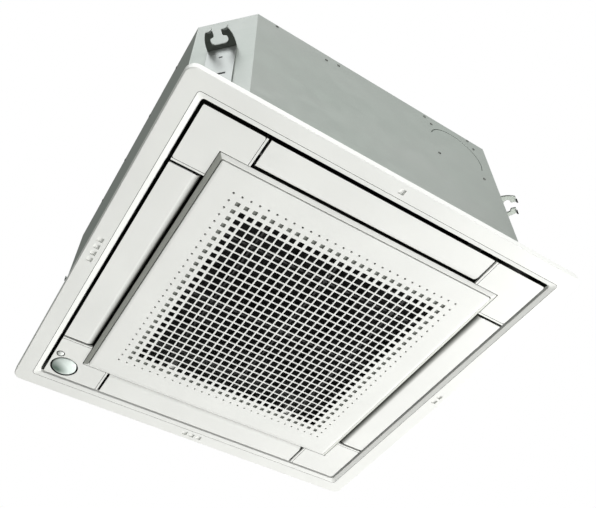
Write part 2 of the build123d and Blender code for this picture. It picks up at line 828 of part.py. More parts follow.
def slot_blocks(distance, shift):
    reach = hanger_sheet + 1
    return [block(distance - reach, distance + reach, shift + v0, shift + v1, z0, z1)
            for v0, v1, z0, z1 in leg_slots]


# turn, distance from the middle and sideways shift of the chamfered wall at corner k
def corner_wall(k):
    if k != 1:
        return 45 + 90 * k, wall_distance, 0
    skew = 45 - math.degrees(math.atan2(sensor_leg_y, sensor_leg_x))
    turn = 135 - skew
    across, along = math.cos(math.radians(turn)), math.sin(math.radians(turn))
    distance = (casing_half - sensor_leg_y) * along - casing_half * across
    return turn, distance, distance * math.tan(math.radians(skew))


def hanger_brackets():
    brackets = []
    casing = prism(casing_outline(), casing_bottom, casing_top)
    for k in range(4):
        hook = Rot(0, 0, 45 + 90 * k) * hook_plate()
        turn, distance, shift = corner_wall(k)
        brackets.append(hook - casing + Rot(0, 0, turn) * hanger_leg(distance, shift))
    return brackets


# ---- inside the casing
def pipe_holes(start, clear):
    holes = [rod_x(start, casing_half, gas_y, gas_z, gas_r + clear)]
    holes.append(rod_x(start, casing_half, coil_middle, liquid_z, liquid_r + clear))
    holes.append(rod_y(hose_x, start, casing_half, drain_z, drain_r + clear))
    return holes


def wall_insulation():
    inset = insulation_inset
    low_top = casing_top - sheet - insulation_top
    shell = prism(casing_outline(inset) - casing_outline(inset + insulation_thick), pan_top, low_top)
    shell += prism(casing_outline(inset), low_top, casing_top - sheet)
    shell -= rod(0, 0, low_top - 1, casing_top, bowl_r + 12)
    return shell - pipe_holes(casing_half - insulation_inset - insulation_thick - 5, 1.0)


def drain_pan():
    pan = prism(casing_outline(insulation_inset), casing_bottom + sheet, pan_top)
    foot = prism(casing_outline(sheet + flange_width + 1), casing_bottom, casing_bottom + sheet)
    for k in range(4):
        foot -= turned(corner_block(tab_place - 1), k)
    pan += foot
    pan -= block(-intake_outer, intake_outer, -intake_outer, intake_outer, casing_bottom - 1, pan_shelf)
    pan -= prism(square(pan_inner, pan_corner_r), pan_shelf - 1, pan_top + 1)
    pan -= square_ring(trough_outer, trough_inner, pan_floor, pan_top + 1, 0, trough_corner_r)
    pan -= block(sump_near, sump_far, sump_near, sump_far, pan_floor, pan_top + 1)
    slot = block(outlet_inner, outlet_outer, -outlet_half, outlet_half, casing_bottom - 1, pan_top + 1)
    hole = rod(bolt_place, bolt_place, casing_bottom - 1, deck_z + bolt_length + 3, bolt_r + 0.5)
    for k in range(4):
        pan -= turned(slot, k)
        pan -= turned(hole, k)
    return pan - rod(plug_place, plug_place, pan_shelf - 1, pan_floor + 1, plug_r)


def drain_plug():
    plug = rod(plug_place, plug_place, pan_shelf - plug_head, pan_shelf, plug_head_r)
    return plug + rod(plug_place, plug_place, pan_shelf - 1, pan_floor, plug_r)


def coil_fins():
    ring = square_ring(coil_outer, coil_inner, pan_floor, coil_top, coil_corner_r,
                       coil_corner_r - coil_depth)
    return ring - block(coil_end, coil_outer + 1, coil_end, coil_outer + 1, 0, coil_top + 1)


def coil_end_plates():
    low, high = coil_inner - 1, coil_outer + 1
    first = block(coil_end, coil_end + end_plate, low, high, pan_floor, coil_top)
    second = block(low, high, coil_end, coil_end + end_plate, pan_floor, coil_top)
    return [first, second]


def return_bend(z, row):
    bend = Pos(0, 0, z) * Rot(90, 0, 0) * Torus(bend_r, tube_r)
    face = coil_end + end_plate
    bend &= block(0, bend_r + tube_r + 1, -tube_r - 1, tube_r + 1, z - 2 * bend_r, z + 2 * bend_r)
    return Pos(face, coil_middle + row, 0) * bend


def coil_tubes():
    tubes = []
    step = (coil_top - pan_floor) / tube_rows
    for n in range(tube_rows):
        for row in (-row_offset, row_offset):
            bend = return_bend(pan_floor + (n + 0.5) * step, row)
            tubes.append(bend)
            tubes.append(mirror(bend, about=Plane((0, 0, 0), z_dir=(1, -1, 0))))
    return tubes


def gas_pipe():
    header_y = gas_y
    pipe = rod(coil_middle, header_y, header_low, header_high, gas_header_r)
    pipe += rod_x(coil_middle, pipe_reach, gas_y, gas_z, gas_r)
    step = (coil_top - pan_floor) / tube_rows
    for n in range(1, tube_rows):
        pipe += rod_y(coil_middle, coil_end + end_plate, header_y, pan_floor + n * step, feeder_r)
    pipe += flare(gas_y, gas_z, gas_r, gas_thread_r - 1)
    return pipe - rod_x(pipe_reach - 20, pipe_reach + 1, gas_y, gas_z, gas_r - 1)


def liquid_pipe():
    pipe = rod(liquid_header_x, coil_middle, header_low, header_high, liquid_header_r)
    pipe += rod_x(liquid_header_x, pipe_reach, coil_middle, liquid_z, liquid_r)
    step = (coil_top - pan_floor) / tube_rows
    for n in range(1, tube_rows):
        pipe += rod_x(coil_end + end_plate, liquid_header_x, coil_middle, pan_floor + n * step, feeder_r)
    pipe += flare(coil_middle, liquid_z, liquid_r, liquid_thread_r - 1)
    return pipe - rod_x(pipe_reach - 20, pipe_reach + 1, coil_middle, liquid_z, liquid_r - 0.8)


def flare(y, z, r, end_r):
    return Pos(pipe_reach - flare_length / 2, y, z) * Rot(0, 90, 0) * Cone(r, end_r, flare_length)


def flare_nut(y, z, r, thread_r, nut_r):
    start = pipe_reach - flare_length - nut_back - 1
    nut = Pos(start, y, z) * Rot(0, 90, 0) * extrude(RegularPolygon(nut_r, 6), nut_length)
    end = start + nut_length
    nut -= rod_x(start - 1, end, y, z, r + 0.02)
    nut -= rod_x(start + nut_back, end, y, z, thread_r - nut_relief)
    return nut - rod_x(end - nut_thread, end + 1, y, z, thread_r)


def flare_nuts():
    return [flare_nut(gas_y, gas_z, gas_r, gas_thread_r, gas_nut_r),
            flare_nut(coil_middle, liquid_z, liquid_r, liquid_thread_r, liquid_nut_r)]


def pipe_plate():
    x = casing_half
    plate = block(x, x + pipe_plate_thick, gas_y - 22, coil_middle + 12, gas_z - 22, liquid_z + 18)
    plate -= rod_x(x - 1, x + 5, gas_y, gas_z, gas_r + pipe_clear)
    return plate - rod_x(x - 1, x + 5, coil_middle, liquid_z, liquid_r + pipe_clear)


# ---- fan
def fan_motor():
    body = rod(0, 0, motor_low, motor_high, motor_body_r)
    for n in range(rubber_count):
        lug = block(0, rubber_place, -rubber_r, rubber_r, motor_high - motor_lug, motor_high)
        lug += rod(rubber_place, 0, motor_high - motor_lug, motor_high, rubber_r)
        body += Rot(0, 0, 360 / rubber_count * n) * lug
    return body - rod(0, 0, motor_low - 1, motor_low + shaft_in, shaft_r + fit_gap)


def motor_rubbers():
    rubber = rod(rubber_place, 0, motor_high, casing_top - sheet, rubber_r)
    return [Rot(0, 0, 360 / rubber_count * n) * rubber for n in range(rubber_count)]


def motor_shaft():
    return rod(0, 0, shaft_low, motor_low + shaft_in - 1, shaft_r)


def turbo_fan():
    hub = revolved([(bowl_r, hub_z), (fan_r, hub_z), (fan_r, hub_z + hub_skin),
                    (bowl_r - hub_skin, hub_z + hub_skin), (bowl_r - hub_skin - 6, bowl_low + hub_skin),
                    (boss_r, bowl_low + hub_skin), (boss_r, bowl_low + 14), (shaft_r + 0.02, bowl_low + 14),
                    (shaft_r + 0.02, boss_low), (boss_r, boss_low), (boss_r, bowl_low),
                    (bowl_r - 5, bowl_low)])
    shroud = revolved([(shroud_r, shroud_z - 2), (shroud_r + shroud_skin, shroud_z - 2),
                       (shroud_r + shroud_skin + 2, shroud_z + 8), (fan_r, shroud_z + shroud_rise - 2),
                       (fan_r, shroud_z + shroud_rise), (shroud_r + 2, shroud_z + 9.5)])
    blade_low = shroud_z + shroud_rise - 1
    below = revolved([(0, shroud_z - 10), (fan_r + 10, shroud_z - 10), (fan_r + 10, blade_low),
                      (fan_r, blade_low), (shroud_r + 2, shroud_z + 8.7), (0, shroud_z + 8.7)])
    fan = hub + shroud
    blade = fan_blade() - below
    for n in range(blade_count):
        fan += Rot(0, 0, 360 / blade_count * n) * blade
    return fan


def fan_blade():
    tip_angle = math.radians(-30)
    tip = ((fan_r - 1) * math.cos(tip_angle), (fan_r - 1) * math.sin(tip_angle))
    middle_r, middle_angle = (blade_inner_r + fan_r) / 2 + 2, math.radians(-12)
    middle = (middle_r * math.cos(middle_angle), middle_r * math.sin(middle_angle))
    line = ThreePointArc((blade_inner_r, 0), middle, tip)
    return prism(trace(line, blade_thick), shroud_z, hub_z + 1)


def fan_nut():
    nut = prism(RegularPolygon(9, 6) - Circle(shaft_r + 0.02), shaft_low + 1, boss_low)
    return nut


def bell_arc(r):
    middle_z = bell_plate_z + bell_mouth_r - bell_throat_r
    turn = math.sqrt(0.5)
    return ThreePointArc((bell_mouth_r, 0, middle_z - r),
                         (bell_mouth_r - r * turn, 0, middle_z - r * turn),
                         (bell_mouth_r - r, 0, middle_z))


def bell_mouth():
    plate = prism(square(bell_plate_half, 6) - Circle(bell_mouth_r), bell_plate_z, pan_shelf)
    air_side = bell_arc(bell_mouth_r - bell_throat_r)
    back = bell_arc(bell_mouth_r - bell_throat_r - bell_skin)
    top = [(bell_throat_r, 0, bell_throat_z), (bell_throat_r + bell_skin, 0, bell_throat_z)]
    edges = [air_side, Line(air_side @ 1, top[0]), Line(*top), Line(top[1], back @ 1), back,
             Line(back @ 0, air_side @ 0)]
    return plate + revolve(make_face(edges), Axis.Z)


# ---- drain pump and float
def drain_pump_body():
    body = rod(pump_x, pump_y, pump_low, pump_high, pump_r)
    body += rod(pump_x, pump_y, pan_floor + 4, pump_low + 1, pump_pipe_r)
    body += rod_x(pump_x - pump_r - spout, pump_x, pump_y, hose_z, hose_bore - fit_gap)
    body -= rod(pump_x, pump_y, pan_floor, pump_cavity_low + 1, pump_pipe_r - 2)
    body -= rod(pump_x, pump_y, pump_cavity_low, pump_cavity_high, pump_cavity_r)
    body -= rod_x(pump_x - pump_r - spout - 1, pump_x, pump_y, hose_z, hose_bore - spout_wall)
    return body - rod(pump_x, pump_y, pump_cavity_high - 1, pump_cavity_high + impeller_shaft,
                      impeller_shaft_r + fit_gap)


def drain_pump_impeller():
    low = pump_cavity_low + 4
    high = pump_cavity_high - 8
    wheel = rod(pump_x, pump_y, high - impeller_thick, high, impeller_r)
    wheel += rod(pump_x, pump_y, low, pump_cavity_high + impeller_shaft - 1, impeller_shaft_r)
    for n in range(impeller_vanes):
        vane = block(0, impeller_r, -0.8, 0.8, low, high - 1)
        wheel += Pos(pump_x, pump_y, 0) * Rot(0, 0, 360 / impeller_vanes * n) * vane
    return wheel


def hose_line():
    r, turn = hose_bend_r, hose_bend_r * (1 - math.sqrt(0.5))
    start = (pump_x - pump_r, pump_y, hose_z)
    first = (hose_x + r, pump_y, hose_z)
    second = (hose_x, pump_y, hose_z + r)
    third = (hose_x, pump_y, drain_z - r)
    fourth = (hose_x, pump_y + r, drain_z)
    return Wire([Line(start, first),
                 ThreePointArc(first, (hose_x + turn, pump_y, hose_z + turn), second),
                 Line(second, third),
                 ThreePointArc(third, (hose_x, pump_y + turn, drain_z - turn), fourth),
                 Line(fourth, (hose_x, casing_half, drain_z))])


def drain_hose():
    line = hose_line()
    start = Plane(origin=line @ 0, z_dir=line % 0)
    return sweep(start * Circle(hose_r), path=line) - sweep(start * Circle(hose_bore), path=line)


def drain_outlet():
    spigot = rod_y(hose_x, drain_start, drain_reach, drain_z, drain_r)
    spigot += rod_y(hose_x, casing_half, casing_half + 2, drain_z, drain_r + 7)
    spigot -= rod_y(hose_x, drain_start - 1, casing_half, drain_z, hose_r + fit_gap)
    return spigot - rod_y(hose_x, casing_half - 1, drain_reach + 1, drain_z, drain_bore)


def float_guide():
    stop = float_low + float_height + float_travel + 1
    guide = rod(float_x, float_y, float_low - 2, stem_high, stem_r)
    guide += rod(float_x, float_y, stop, stop + 3, stem_collar_r)
    guide += block(float_x - stem_r, float_x + stem_r, float_y, pump_y - 4, pump_low, stem_high)
    return guide - rod(pump_x, pump_y, pump_low - 1, pump_high, pump_r)


def drain_float():
    body = rod(float_x, float_y, float_low, float_low + float_height, float_r)
    return body - rod(float_x, float_y, float_low - 1, float_low + float_height + 1, stem_r + 0.08)


# ---- control box
def control_box():
    box = block(-box_x, box_x, box_near, box_far, box_low, bell_plate_z)
    box -= block(-box_x + box_sheet, box_x - box_sheet, box_near + box_sheet, box_far - box_sheet,
                 box_low, bell_plate_z - box_sheet)
    return box - rod_x(box_x - 2, box_x + 1, box_middle, gland_z, gland_r + fit_gap)


def control_box_lid():
    return block(-box_x, box_x, box_near, box_far, box_low - box_sheet, box_low)


def control_board():
    top = bell_plate_z - box_sheet
    low = top - board_gap - board_thick
    board = block(-board_reach, board_reach / 4, box_near + 7, box_far - 7, low, low + board_thick)
    for x in (-board_reach + 6, board_reach / 4 - 6):
        for y in (box_near + 12, box_far - 12):
            board += rod(x, y, low + 1, top, 3)
    for n, (x, y) in enumerate([(-110, 165), (-88, 165), (-66, 168), (-100, 192), (-30, 190)]):
        board += rod(x, y, low - 14 + 2 * n, low + 1, 8)
    board += block(-70, -40, 184, 200, low - 6, low + 1)
    return board + block(-10, 20, 160, 178, low - 10, low + 1)


def terminal_block():
    top = bell_plate_z - box_sheet
    block_half = 32.0
    body = block(90 - block_half, 90 + block_half, box_middle - 12, box_middle + 12, top - 14, top)
    for n in range(5):
        x = 90 + (n - 2) * 12.0
        body -= block(x - 4, x + 4, box_middle - 13, box_middle - 3, top - 15, top - 6)
        body -= block(x - 4, x + 4, box_middle + 3, box_middle + 13, top - 15, top - 6)
    return body


def cable_gland():
    gland = rod_x(box_x - 4, box_x + gland_length, box_middle, gland_z, gland_r)
    gland += Pos(box_x, box_middle, gland_z) * Rot(0, 90, 0) * extrude(RegularPolygon(gland_r + 4, 6), 5)
    return gland - rod_x(box_x - 5, box_x + gland_length + 1, box_middle, gland_z, gland_bore)


def room_thermistor():
    clip = block(-box_x - 2, -box_x, box_middle - 4, box_middle + 4, gland_z - 4, gland_z + 4)
    return clip + rod_x(-box_x - thermistor_length, -box_x - 1, box_middle, gland_z, thermistor_r)


# ---- all nodes
def save(name, shape):
    if isinstance(shape, list):
        shape = Compound(children=shape)
    export_step(shape, f"parts/{name}.step")
    print(name, flush=True)


os.makedirs("parts", exist_ok=True)
flap = louver()
flap_motor = louver_motor()
for k, side in enumerate(side_names):
    save(f"louver_{side}", turned(flap, k))
    save(f"louver_motor_{side}", turned(flap_motor, k))
cover = corner_cover()
save("corner_cover_front_right", cover)
save("corner_cover_rear_left", turned(cover, 2))
save("corner_cover_rear_right", turned(cover, 3))
left_wrap, right_wrap = casing_wraps()
save("casing_wrap_left", left_wrap)
save("casing_wrap_right", right_wrap)
for side, x in (("left", -latch_x), ("right", latch_x)):
    save(f"grille_latch_{side}", grille_latch(x))
    save(f"latch_spring_{side}", latch_spring(x))
single_pieces = [panel_frame, sensor_corner_cover, sensor_bezel, sensor_lens, receiver_window,
                 intake_grille, air_filter, filter_mesh, hinge_pins, panel_bolts, panel_seal,
                 ceiling_seal, top_plate, hanger_brackets, casing_screws, wall_insulation,
                 drain_pan, drain_plug, bell_mouth, turbo_fan, fan_nut, motor_shaft, fan_motor,
                 motor_rubbers, coil_fins, coil_end_plates, coil_tubes, gas_pipe, liquid_pipe,
                 flare_nuts, pipe_plate, drain_pump_body, drain_pump_impeller, drain_hose,
                 drain_outlet, float_guide, drain_float, control_box, control_box_lid,
                 control_board, terminal_block, cable_gland, room_thermistor]
for piece in single_pieces:
    save(piece.__name__, piece())
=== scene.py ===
import json
import math

import bmesh
import bpy
from mathutils import Matrix, Vector


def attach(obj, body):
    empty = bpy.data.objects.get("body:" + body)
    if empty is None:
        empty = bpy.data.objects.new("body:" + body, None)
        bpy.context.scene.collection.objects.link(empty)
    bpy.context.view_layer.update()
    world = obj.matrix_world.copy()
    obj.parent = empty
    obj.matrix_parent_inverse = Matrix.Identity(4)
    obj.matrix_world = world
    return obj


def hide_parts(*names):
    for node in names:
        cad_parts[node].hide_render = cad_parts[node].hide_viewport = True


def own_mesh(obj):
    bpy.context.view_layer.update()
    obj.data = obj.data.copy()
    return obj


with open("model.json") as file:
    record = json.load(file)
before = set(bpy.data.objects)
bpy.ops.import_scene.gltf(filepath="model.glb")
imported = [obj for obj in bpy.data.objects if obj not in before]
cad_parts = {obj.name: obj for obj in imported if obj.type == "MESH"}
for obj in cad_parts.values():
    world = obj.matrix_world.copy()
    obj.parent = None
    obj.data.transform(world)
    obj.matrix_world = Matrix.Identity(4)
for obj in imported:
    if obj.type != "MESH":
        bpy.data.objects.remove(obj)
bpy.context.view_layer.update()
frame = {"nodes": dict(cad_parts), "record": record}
nodes = frame["nodes"]
mm = 0.001
print("frame loaded:", len(nodes), "nodes")


# a method that works this out from the signal itself and another value
def reckon(operation):
    return lambda self, other=0.0: self.maths(operation, self, other)


# a wrapped socket that is reckoned with like a number
class Signal:
    __add__ = __radd__ = reckon("ADD")
    __mul__ = __rmul__ = reckon("MULTIPLY")
    __sub__ = reckon("SUBTRACT")
    __gt__ = reckon("GREATER_THAN")
    __lt__ = reckon("LESS_THAN")
    __abs__ = reckon("ABSOLUTE")
    top = reckon("MAXIMUM")
    root = reckon("SQRT")

    def __init__(self, finish, socket):
        self.finish = finish
        self.socket = socket

    def maths(self, operation, first, second=0.0):
        node = self.finish.add("Math", {"operation": operation}, first, second)
        return Signal(self.finish, node.outputs[0])

    def __rsub__(self, other):
        return self.maths("SUBTRACT", other, self)

    def within(self, low, high):
        return (self > low) * (self < high)

    # 0 at start, 1 at end, straight between
    def rise(self, start, end):
        node = self.finish.add("Clamp", None, (self - start) * (1 / (end - start)))
        return Signal(self.finish, node.outputs[0])


class Finish:
    def __init__(self, name, color, roughness, metallic=0.0, **fixed):
        self.mat = bpy.data.materials.new(name)
        self.mat.use_nodes = True
        self.tree = self.mat.node_tree
        self.shader = self.tree.nodes["Principled BSDF"]
        self.feed("Base Color", (*color, 1.0))
        self.feed("Roughness", roughness)
        self.feed("Metallic", metallic)
        for socket, value in fixed.items():
            self.feed(socket.replace("_", " "), value)

    # one way to add any node: its settings first, then the values or links of its sockets
    def add(self, kind, settings=None, *values, **named):
        node = self.tree.nodes.new("ShaderNode" + kind)
        for key, value in (settings or {}).items():
            if key == "stops":
                for element, (place, shade) in zip(node.color_ramp.elements, value):
                    element.position = place
                    element.color = (shade, shade, shade, 1)
            else:
                setattr(node, key, value)
        for index, value in enumerate(values):
            self.put(node.inputs[index], value)
        for key, value in named.items():
            self.put(node.inputs[key.replace("_", " ")], value)
        return node

    def put(self, socket, value):
        if isinstance(value, Signal):
            self.tree.links.new(value.socket, socket)
        elif hasattr(value, "is_output"):
            self.tree.links.new(value, socket)
        else:
            socket.default_value = value

    def feed(self, socket, value):
        self.put(self.shader.inputs[socket], value)

    # object space, in metres, stretched along each axis by scale
    def place(self, scale=(1.0, 1.0, 1.0)):
        where = self.add("TexCoord").outputs["Object"]
        return self.add("VectorMath", {"operation": "MULTIPLY"}, where, scale).outputs[0]

    def axes(self):
        where = self.add("TexCoord").outputs["Object"]
        split = self.add("SeparateXYZ", None, where)
        return [Signal(self, out) for out in split.outputs]

    def noise(self, scale, detail=2.0, roughness=0.5, stretch=(1.0, 1.0, 1.0)):
        node = self.add("TexNoise", None, self.place(stretch), Scale=scale, Detail=detail,
                        Roughness=roughness)
        return Signal(self, node.outputs["Fac"])

    # black up to low, white from high
    def ramp(self, value, low, high):
        return Signal(self, self.add("ValToRGB", {"stops": ((low, 0), (high, 1))}, value).outputs[0])

    def mix(self, share, first, second):
        node = self.add("Mix", {"data_type": "RGBA"})
        self.put(node.inputs[0], share)
        self.put(node.inputs[6], first if isinstance(first, Signal) else (*first, 1))
        self.put(node.inputs[7], second if isinstance(second, Signal) else (*second, 1))
        return Signal(self, node.outputs[2])

    # edge rounds the shading of sharp edges over that radius, in metres
    def bump(self, height, distance, strength=1.0, edge=0.0):
        node = self.add("Bump", None, Strength=strength, Distance=distance, Height=height)
        if edge:
            self.put(node.inputs["Normal"], self.add("Bevel", {"samples": 4}, edge).outputs[0])
        self.feed("Normal", node.outputs[0])

    # colour, a roughness that varies about its middle with the grain, and the grain's own relief
    def dress(self, tone, grain, look):
        self.feed("Base Color", tone)
        self.feed("Roughness", look["roughness"] + (grain - 0.5) * look["roughSpread"])
        self.bump(grain, look["depth"], look["strength"], look["edge"])
        return self.mat


def dimmed(color, share):
    return tuple(c * share for c in color)


# distance from the middle of a square with rounded corners, level along its sides
def squareReach(x, y, straight):
    across, along = (abs(x) - straight).top(0.0), (abs(y) - straight).top(0.0)
    return (across * across + along * along).root() + straight


# mouldings: fine grain, a faint mottle, and soft edges
plastic = {"roughness": 0.42, "roughSpread": 0.1, "specular": 0.4, "mottle": 9.0,
           "mottleRamp": (0.35, 0.65), "mottleShare": 0.04, "grain": 900.0, "depth": 0.00002,
           "strength": 0.5, "edge": 0.0003}


def mouldedPlastic(name, color, shading=None):
    finish = Finish(name, color, plastic["roughness"], Specular_IOR_Level=plastic["specular"])
    mottle = finish.ramp(finish.noise(plastic["mottle"], 3), *plastic["mottleRamp"])
    tone = finish.mix(mottle, dimmed(color, 1 - plastic["mottleShare"]), color)
    if shading:
        tone = shading(finish, tone)
    return finish.dress(tone, finish.noise(plastic["grain"]), plastic)


# places in the finishes are in metres from the part's origin
airWay = {"wallFrom": 0.2720, "wallTo": 0.2765, "wallZ": -0.0089, "slotFrom": 0.2725, "slotTo": 0.2786,
          "slotZ": 0.0002, "straight": 0.2737, "greyZ": -0.0064, "blackZ": -0.0050,
          "black": (0.020, 0.022, 0.018)}
coverSeam = {"near": (0.18605, 0.18745), "far": (0.2262, 0.2732), "z": -0.00917}
rimGroove = {"straight": 0.2808, "reach": (0.28525, 0.28595), "z": -0.01044, "color": (0.07, 0.075, 0.07)}


# painted shade: the covers' outer walls, the slot beside them and what lies behind the panel's face are
# painted black;
# the seams beside the covers are dark too, and the rim's fine groove is painted dark as shade
def paintAirWayShade(finish, tone):
    x, y, z = finish.axes()
    far = abs(x).top(abs(y))
    near = abs(x) + abs(y) - far
    reach = squareReach(x, y, airWay["straight"])
    wall = (far > airWay["wallFrom"]) * (reach < airWay["wallTo"]) * (z > airWay["wallZ"])
    slot = (far > airWay["slotFrom"]) * (reach < airWay["slotTo"]) * (z > airWay["slotZ"])
    behind = (far < airWay["slotFrom"]) * z.rise(airWay["greyZ"], airWay["blackZ"])
    seam = near.within(*coverSeam["near"]) * far.within(*coverSeam["far"]) * (z > coverSeam["z"])
    tone = finish.mix(wall.top(slot).top(behind).top(seam), tone, airWay["black"])
    groove = squareReach(x, y, rimGroove["straight"]).within(*rimGroove["reach"])
    return finish.mix(groove * (z > rimGroove["z"]), tone, rimGroove["color"])


flapShade = {"edge": 0.27215, "end": 0.1788, "curl": 0.2400, "z": -0.0088, "paintedCurlShadow": (0.2372, 0.2300),
            "paintedCurlShadowShare": 0.9, "paintedCurlShadowColor": (0.06, 0.064, 0.05)}


# painted shade: the flaps' outer edges and the ends of their curls are painted black where they stand in the
# dark slots, and a painted shadow of the grille lies along the curls of the two flaps that stand across X
def shadeFlap(finish, tone):
    x, y, z = finish.axes()
    far = abs(x).top(abs(y))
    near = abs(x) + abs(y) - far
    slotEdgeShade = (far > flapShade["edge"]).top((near > flapShade["end"]) * (far < flapShade["curl"]))
    tone = finish.mix(slotEdgeShade * (z > flapShade["z"]), tone, airWay["black"])
    paintedCurlShadow = far.rise(*flapShade["paintedCurlShadow"]) * (abs(x) > abs(y))
    return finish.mix(paintedCurlShadow * flapShade["paintedCurlShadowShare"], tone, flapShade["paintedCurlShadowColor"])


grilleShade = {"pattern": 0.1770, "through": 0.1630, "wallZ": (-0.01215, -0.01050),
               "hole": (0.012, 0.013, 0.012), "mark": (0.22, 0.23, 0.21), "straight": 0.2155,
               "groove": (0.21803, 0.2193), "grooveZ": -0.01150, "grooveColor": (0.05, 0.05, 0.045),
               "slopeFrom": 0.2193, "slopeZ": -0.01172, "slopeShare": 0.62, "slope": (0.30, 0.31, 0.265)}


# painted shade: through holes are dark inside and shallow squares grey; the slopes across X and the groove
# round the face are painted darker than the rest
def shadeGrille(finish, tone):
    x, y, z = finish.axes()
    far = abs(x).top(abs(y))
    wall = z.within(*grilleShade["wallZ"])
    tone = finish.mix(wall * (far < grilleShade["pattern"]), tone, grilleShade["mark"])
    tone = finish.mix(wall * (far < grilleShade["through"]), tone, grilleShade["hole"])
    reach = squareReach(x, y, grilleShade["straight"])
    slope = (reach > grilleShade["slopeFrom"]) * (z > grilleShade["slopeZ"]) * (abs(x) > abs(y))
    tone = finish.mix(slope * grilleShade["slopeShare"], tone, grilleShade["slope"])
    groove = reach.within(*grilleShade["groove"]) * (z > grilleShade["grooveZ"])
    return finish.mix(groove, tone, grilleShade["grooveColor"])


# zinc-coated sheet: soft tinted bands, faint spangle, rolled streaks and a little unevenness
metalSheet = {"specular": 0.5, "spangle": 45.0, "spangleSmooth": 0.6, "spangleShare": 0.25, "bandScale": 3.0,
              "bandStretch": (1, 1, 2.2), "bandRamp": (0.36, 0.64), "bandShare": 0.6,
              "streak": (7.0, 7.0, 330.0), "streakShare": 0.45, "darkest": 0.90, "green": (0.965, 1.0, 0.97),
              "rosy": (1.0, 0.985, 0.985), "roughLow": 0.1, "spangleRough": 0.06, "streakRough": 0.16,
              "dent": 12.0, "dentDepth": 0.0004, "dentStrength": 0.2, "edge": 0.0005}


def galvanised(name, color, roughness, metallic, shading):
    finish = Finish(name, color, roughness, metallic, Specular_IOR_Level=metalSheet["specular"])
    cells = finish.add("TexVoronoi", {"feature": "SMOOTH_F1"}, finish.place(), Scale=metalSheet["spangle"],
                       Smoothness=metalSheet["spangleSmooth"])
    flake = Signal(finish, finish.add("SeparateColor", None, cells.outputs["Color"]).outputs[0])
    band = finish.noise(metalSheet["bandScale"], 4, 0.6, metalSheet["bandStretch"])
    band = finish.ramp(band, *metalSheet["bandRamp"])
    streak = finish.noise(1.0, 2, 0.5, metalSheet["streak"])
    green, rosy = [tuple(c * k for c, k in zip(color, metalSheet[tint])) for tint in ("green", "rosy")]
    marks = flake * metalSheet["spangleShare"] + streak * metalSheet["streakShare"]
    tone = finish.mix(marks, dimmed(green, metalSheet["darkest"]), green)
    tone = finish.mix(band * metalSheet["bandShare"], tone, rosy)
    finish.feed("Base Color", shading(finish, tone))
    unevenness = flake * metalSheet["spangleRough"] + streak * metalSheet["streakRough"]
    finish.feed("Roughness", roughness - metalSheet["roughLow"] + unevenness)
    finish.bump(finish.noise(metalSheet["dent"], 1), metalSheet["dentDepth"], metalSheet["dentStrength"],
                metalSheet["edge"])
    return finish.mat


knockOut = {"x": 0.1494, "z": 0.230, "line": (0.0506, 0.0524), "wall": (-0.28995, -0.28),
            "color": (0.10, 0.12, 0.105)}


# the pressed line round the casing's knock-out is darker
def darkenKnockOutLine(finish, tone):
    x, y, z = finish.axes()
    x, z = x - knockOut["x"], z - knockOut["z"]
    line = (x * x + z * z).root().within(*knockOut["line"])
    return finish.mix(line * y.within(*knockOut["wall"]), tone, knockOut["color"])


hookShade = {"from": 0.5172, "under": 0.1923, "top": 0.1954, "legEdge": 0.0301, "legs": -0.2, "corner": 0.3,
             "plateShare": 0.94, "litCornerLess": 0.1, "legShare": 0.9, "color": (0.125, 0.138, 0.12),
             "barbFrom": 0.5545, "barb": (0.02, 0.022, 0.02)}


# painted shade: dark under the hooks' plates and on the legs' cut edges, but not on the leg at the sensor's
# corner;
# the hook at the corner towards +X and -Y, which the key light reaches, has its plate painted a little less
# dark, and its barbs nearly black as shade
def paintHookShade(finish, tone):
    x, y, z = finish.axes()
    side, out = abs(abs(x) - abs(y)), abs(x) + abs(y)
    plate = z.within(hookShade["under"], hookShade["top"]) * (out > hookShade["from"])
    leg = (z < hookShade["under"]) * (side > hookShade["legEdge"]) * (x - y > hookShade["legs"])
    corner = x - y > hookShade["corner"]
    plateShare = hookShade["plateShare"] - corner * hookShade["litCornerLess"]
    tone = finish.mix(plate * plateShare + leg * hookShade["legShare"], tone, hookShade["color"])
    return finish.mix((out > hookShade["barbFrom"]) * corner, tone, hookShade["barb"])


# a fine speckle, for pieces that need no finish of their own
speckle = {"scale": 400.0, "share": 0.12, "roughSpread": 0.1, "depth": 0.00004, "strength": 0.4}


def plain(name, color, roughness, metallic=0.0, share=speckle["share"], edge=0.0, **fixed):
    finish = Finish(name, color, roughness, metallic, **fixed)
    fine = finish.noise(speckle["scale"], 3)
    tone = finish.mix(fine, dimmed(color, 1 - share), color)
    return finish.dress(tone, fine, {**speckle, "roughness": roughness, "edge": edge})


# milky dome, with painted shade: a dark patch towards one side
lensLook = {"clear": (0.82, 0.90, 0.865), "dark": (0.12, 0.19, 0.15), "paintedShadeShare": 0.9, "x": -0.2575,
            "y": 0.2560, "near": 0.004, "far": 0.020, "cloud": 260.0, "cloudShare": 0.1, "roughness": 0.16,
            "roughSpread": 0.04, "specular": 0.8, "coat": 0.6, "coatRoughness": 0.08, "depth": 0.00002,
            "strength": 0.2, "edge": 0.0}


def milkyDomeWithPaintedShade(name):
    finish = Finish(name, lensLook["clear"], lensLook["roughness"], Specular_IOR_Level=lensLook["specular"],
                    Coat_Weight=lensLook["coat"], Coat_Roughness=lensLook["coatRoughness"])
    x, y = finish.axes()[:2]
    x, y = x - lensLook["x"], y - lensLook["y"]
    seen = (x * x + y * y).root().rise(lensLook["far"], lensLook["near"])
    cloud = finish.noise(lensLook["cloud"])
    share = seen * (lensLook["paintedShadeShare"] + cloud * lensLook["cloudShare"])
    return finish.dress(finish.mix(share, lensLook["clear"], lensLook["dark"]), cloud, lensLook)


